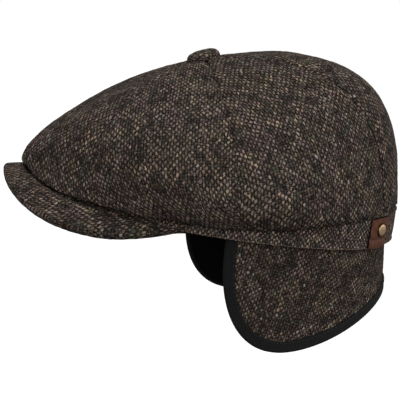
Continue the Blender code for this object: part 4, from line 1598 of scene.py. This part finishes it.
def tab_inner_side():
    """The tab's inner side, narrower toward its lower end, which turns under the band."""
    per_turn = length_per_turn(TAB_TURN)
    reach, wider = TAB_WIDTH / 2 / per_turn, TAB_WIDER / per_turn
    turns = TAB_TURN + np.linspace(-reach - wider, reach, TAB_COLUMNS + 1)
    across = np.linspace(0, 1, TAB_COLUMNS + 1)
    rows = []
    for share in np.linspace(0, 1, TAB_ROWS):
        row = []
        for turn, place in zip(turns, across):
            turn = turns[0] + (turn - turns[0]) * (1 - TAB_TAPER / TAB_WIDTH * share)
            top = crease_height(turn) - TAB_THICKNESS / 2
            low = band_edge(turn, 2 * TAB_END_RADIUS) - TAB_HANG * place
            height = mix(top, low, share)
            row.append((turn, GAP + lip(height), height))
        rows.append(row)
    last = rows[-1]
    for out, down in TAB_END_ROWS:
        rows.append([(turn, out * GAP, height - down * TAB_END_RADIUS) for turn, _, height in last])
    return np.array([[list(band_point(*place)) for place in row] for row in rows])


def build_tab():
    """The leather tab, with a crease, a swell over its fold and rounded edges."""
    inner = tab_inner_side()
    cloth = laid_flat(inner)
    u, v = cloth[..., 0], cloth[..., 1]
    length = v[:, TAB_COLUMNS // 2].max()
    side = np.minimum(u - u.min(axis=1, keepdims=True), u.max(axis=1, keepdims=True) - u)
    from_crease = (v - TAB_CREASE_PLACE * length - TAB_CREASE_SLANT * u) / TAB_CREASE_WIDTH
    crease = TAB_CREASE_DEPTH * np.exp(-(from_crease**2))
    from_fold = (v - TAB_FOLD_PLACE * length) / TAB_FOLD_WIDTH
    swell = TAB_FOLD_SWELL * np.exp(-(from_fold**2)) + TAB_SWELL
    rounded = TAB_EDGE_ROUND * np.exp(-side / TAB_EDGE_WIDTH)
    thickness = TAB_THICKNESS - crease + swell - rounded
    thickness[-len(TAB_END_SHARES) :] *= np.array(TAB_END_SHARES)[:, None]
    outer = inner + outward_of(inner) * thickness[..., None]
    grids = shell(outer, inner, cloth)
    # The cut sides are marked, so that the leather paints a shadow on them
    grids = grids[:2] + [(grid, flat + CUT_EDGE) for grid, flat in grids[2:]]
    leather = material_for("brown_leather")
    add_piece("tab_leather", grids, leather, "brown_leather", "leather_tab")


def build_stud():
    """The stud: a low domed face in a sunk ring."""
    radius, height, _ = lathe(STUD_PROFILE, STUD_ROWS, STUD_RADIUS, STUD_HEIGHT * STUD_RELIEF)
    angle = np.linspace(0, 2 * np.pi, STUD_COLUMNS + 1)
    x, y = radius[:, None] * np.cos(angle), radius[:, None] * np.sin(angle)
    grid = np.stack([x, y, np.repeat(height[:, None], len(angle), 1)], -1)
    outward = Vector(
        (BAND_HALF_LENGTH * math.sin(STUD_TURN), -BAND_HALF_WIDTH * math.cos(STUD_TURN), 0)
    ).normalized()
    outward.rotate(Matrix.Rotation(-STUD_TOWARD_SIDE, 3, "Z"))
    seat = band_point(STUD_TURN, 2 * GAP + TAB_THICKNESS + TAB_SWELL, STUD_HEIGHT_ON_BAND)
    turn = outward.to_track_quat("Z", "Y").to_matrix()
    placed = grid @ np.array(turn).T + np.array(seat)
    placed[:, -1] = placed[:, 0]
    grids = [(placed, np.stack([x, y], -1))]
    add_piece("stud", grids, material_for("brass"), "brass", "tab_stud")


# Stage


def add_light(name, place, size, power):
    """A round soft lamp turned toward the cap."""
    data = bpy.data.lights.new(name, "AREA")
    data.shape = "DISK"
    data.size = size
    data.energy = power
    light = bpy.data.objects.new(name, data)
    light.location = place
    direction = Vector(LIGHT_AIM) - Vector(place)
    light.rotation_euler = direction.to_track_quat("-Z", "Y").to_euler()
    bpy.context.scene.collection.objects.link(light)


def add_floor():
    """A plain floor, white to the camera and pale grey to the light that it sends back."""
    size, height = FLOOR_SIZE, FLOOR_HEIGHT
    corners = [(-size, -size), (size, -size), (size, size), (-size, size)]
    mesh = bpy.data.meshes.new("floor")
    mesh.from_pydata([(x, y, height) for x, y in corners], [], [(0, 1, 2, 3)])
    floor = bpy.data.objects.new("floor", mesh)
    bpy.context.scene.collection.objects.link(floor)
    material = bpy.data.materials.new("pale_floor")
    material.use_nodes = True
    tree = material.node_tree
    shader = tree.nodes["Principled BSDF"]
    shader.inputs["Base Color"].default_value = (FLOOR_GREY, FLOOR_GREY, FLOOR_GREY, 1)
    shader.inputs["Roughness"].default_value = 0.9
    shader.inputs["Emission Color"].default_value = (1, 1, 1, 1)
    seen = add_node(tree, "LightPath").outputs["Is Camera Ray"]
    tree.links.new(seen, shader.inputs["Emission Strength"])
    mesh.materials.append(material)


def add_room():
    """A soft room all round, white where the camera sees it."""
    world = bpy.data.worlds.new("soft_room")
    bpy.context.scene.world = world
    world.use_nodes = True
    tree = world.node_tree
    seen = add_node(tree, "LightPath").outputs["Is Camera Ray"]
    backdrop = tree.nodes["Background"]
    backdrop.inputs["Color"].default_value = (1, 1, 1, 1)
    strength = maths(tree, "MULTIPLY_ADD", seen, 1.0 - ROOM_LIGHT, ROOM_LIGHT)
    tree.links.new(strength, backdrop.inputs["Strength"])


def add_camera():
    """The camera, placed and turned as the photograph's perspective asks."""
    data = bpy.data.cameras.new("photo_camera")
    data.sensor_width = SENSOR_MM
    data.lens = FOCAL_PIXELS / IMAGE_PIXELS * SENSOR_MM
    data.clip_start, data.clip_end = 0.01, 50.0
    camera = bpy.data.objects.new("photo_camera", data)
    bpy.context.scene.collection.objects.link(camera)
    a, e = CAMERA_AZIMUTH, CAMERA_RISE
    back = Vector((math.sin(a) * math.cos(e), -math.cos(a) * math.cos(e), math.sin(e)))
    level = Vector((math.cos(a), math.sin(a), 0))
    right = Matrix.Rotation(CAMERA_ROLL, 3, back) @ level
    turn = Matrix((right, back.cross(right), back)).transposed().to_4x4()
    camera.matrix_world = Matrix.Translation(CAMERA_PLACE) @ turn
    bpy.context.scene.camera = camera


def build_stage():
    """A plain pale floor, soft lights all round and the camera."""
    add_floor()
    add_room()
    for name, place, width, power in LIGHTS:
        add_light(name, place, width, power)
    add_camera()
    bpy.context.scene.view_settings.view_transform = "Standard"


# Operators and panel


class EARFLAPCAP_OT_crown(bpy.types.Operator):
    """Build the eight tweed panels of the crown"""

    bl_idname = "earflap_cap.crown"
    bl_label = "Crown"
    bl_options = {"REGISTER", "UNDO"}

    def execute(self, context):
        build_crown()
        return {"FINISHED"}


class EARFLAPCAP_OT_button(bpy.types.Operator):
    """Build the covered button"""

    bl_idname = "earflap_cap.button"
    bl_label = "Button"
    bl_options = {"REGISTER", "UNDO"}

    def execute(self, context):
        build_button()
        return {"FINISHED"}


class EARFLAPCAP_OT_band(bpy.types.Operator):
    """Build the tweed band and the threads on its fold"""

    bl_idname = "earflap_cap.band"
    bl_label = "Band"
    bl_options = {"REGISTER", "UNDO"}

    def execute(self, context):
        build_band()
        return {"FINISHED"}


class EARFLAPCAP_OT_visor(bpy.types.Operator):
    """Build the covered visor"""

    bl_idname = "earflap_cap.visor"
    bl_label = "Visor"
    bl_options = {"REGISTER", "UNDO"}

    def execute(self, context):
        build_visor()
        return {"FINISHED"}


class EARFLAPCAP_OT_binding(bpy.types.Operator):
    """Build the flap's tape and its stitches"""

    bl_idname = "earflap_cap.binding"
    bl_label = "Binding"
    bl_options = {"REGISTER", "UNDO"}

    def execute(self, context):
        build_binding()
        return {"FINISHED"}


class EARFLAPCAP_OT_flap_cloth(bpy.types.Operator):
    """Build the flap's tweed layer"""

    bl_idname = "earflap_cap.flap_cloth"
    bl_label = "Flap cloth"
    bl_options = {"REGISTER", "UNDO"}

    def execute(self, context):
        build_flap_cloth()
        return {"FINISHED"}


class EARFLAPCAP_OT_flap_lining(bpy.types.Operator):
    """Build the flap's fleece layer"""

    bl_idname = "earflap_cap.flap_lining"
    bl_label = "Flap lining"
    bl_options = {"REGISTER", "UNDO"}

    def execute(self, context):
        build_flap_lining()
        return {"FINISHED"}


class EARFLAPCAP_OT_tab(bpy.types.Operator):
    """Build the leather tab"""

    bl_idname = "earflap_cap.tab"
    bl_label = "Tab"
    bl_options = {"REGISTER", "UNDO"}

    def execute(self, context):
        build_tab()
        return {"FINISHED"}


class EARFLAPCAP_OT_stud(bpy.types.Operator):
    """Build the tab's stud"""

    bl_idname = "earflap_cap.stud"
    bl_label = "Stud"
    bl_options = {"REGISTER", "UNDO"}

    def execute(self, context):
        build_stud()
        return {"FINISHED"}


class EARFLAPCAP_OT_stage(bpy.types.Operator):
    """Build the floor, the lights and the camera"""

    bl_idname = "earflap_cap.stage"
    bl_label = "Stage"
    bl_options = {"REGISTER", "UNDO"}

    def execute(self, context):
        build_stage()
        return {"FINISHED"}


# In the order in which they run
OPERATORS = (
    EARFLAPCAP_OT_crown,
    EARFLAPCAP_OT_button,
    EARFLAPCAP_OT_band,
    EARFLAPCAP_OT_visor,
    EARFLAPCAP_OT_binding,
    EARFLAPCAP_OT_flap_cloth,
    EARFLAPCAP_OT_flap_lining,
    EARFLAPCAP_OT_tab,
    EARFLAPCAP_OT_stud,
    EARFLAPCAP_OT_stage,
)


class EARFLAPCAP_PT_panel(bpy.types.Panel):
    """Lists the cap's pieces, sizes and colours."""

    bl_idname = "EARFLAPCAP_PT_panel"
    bl_label = "Earflap cap"
    bl_space_type = "VIEW_3D"
    bl_region_type = "UI"
    bl_category = "Earflap cap"

    def draw(self, context):
        for group in (context.scene.cap_sizes, context.scene.cap_colours):
            box = self.layout.box()
            for name in group.bl_rna.properties.keys():
                if name not in ("rna_type", "name"):
                    box.prop(group, name)
        for made in OPERATORS:
            self.layout.operator(made.bl_idname)


CLASSES = (CapSizes, CapColours, *OPERATORS, EARFLAPCAP_PT_panel)


def register():
    for made in CLASSES:
        bpy.utils.register_class(made)
    bpy.types.Scene.cap_sizes = PointerProperty(type=CapSizes)
    bpy.types.Scene.cap_colours = PointerProperty(type=CapColours)


def unregister():
    del bpy.types.Scene.cap_colours
    del bpy.types.Scene.cap_sizes
    for made in reversed(CLASSES):
        bpy.utils.unregister_class(made)


def main():
    register()
    for made in OPERATORS:
        name = made.bl_idname.split(".")[1]
        getattr(bpy.ops.earflap_cap, name)()


if __name__ == "__main__":
    main()
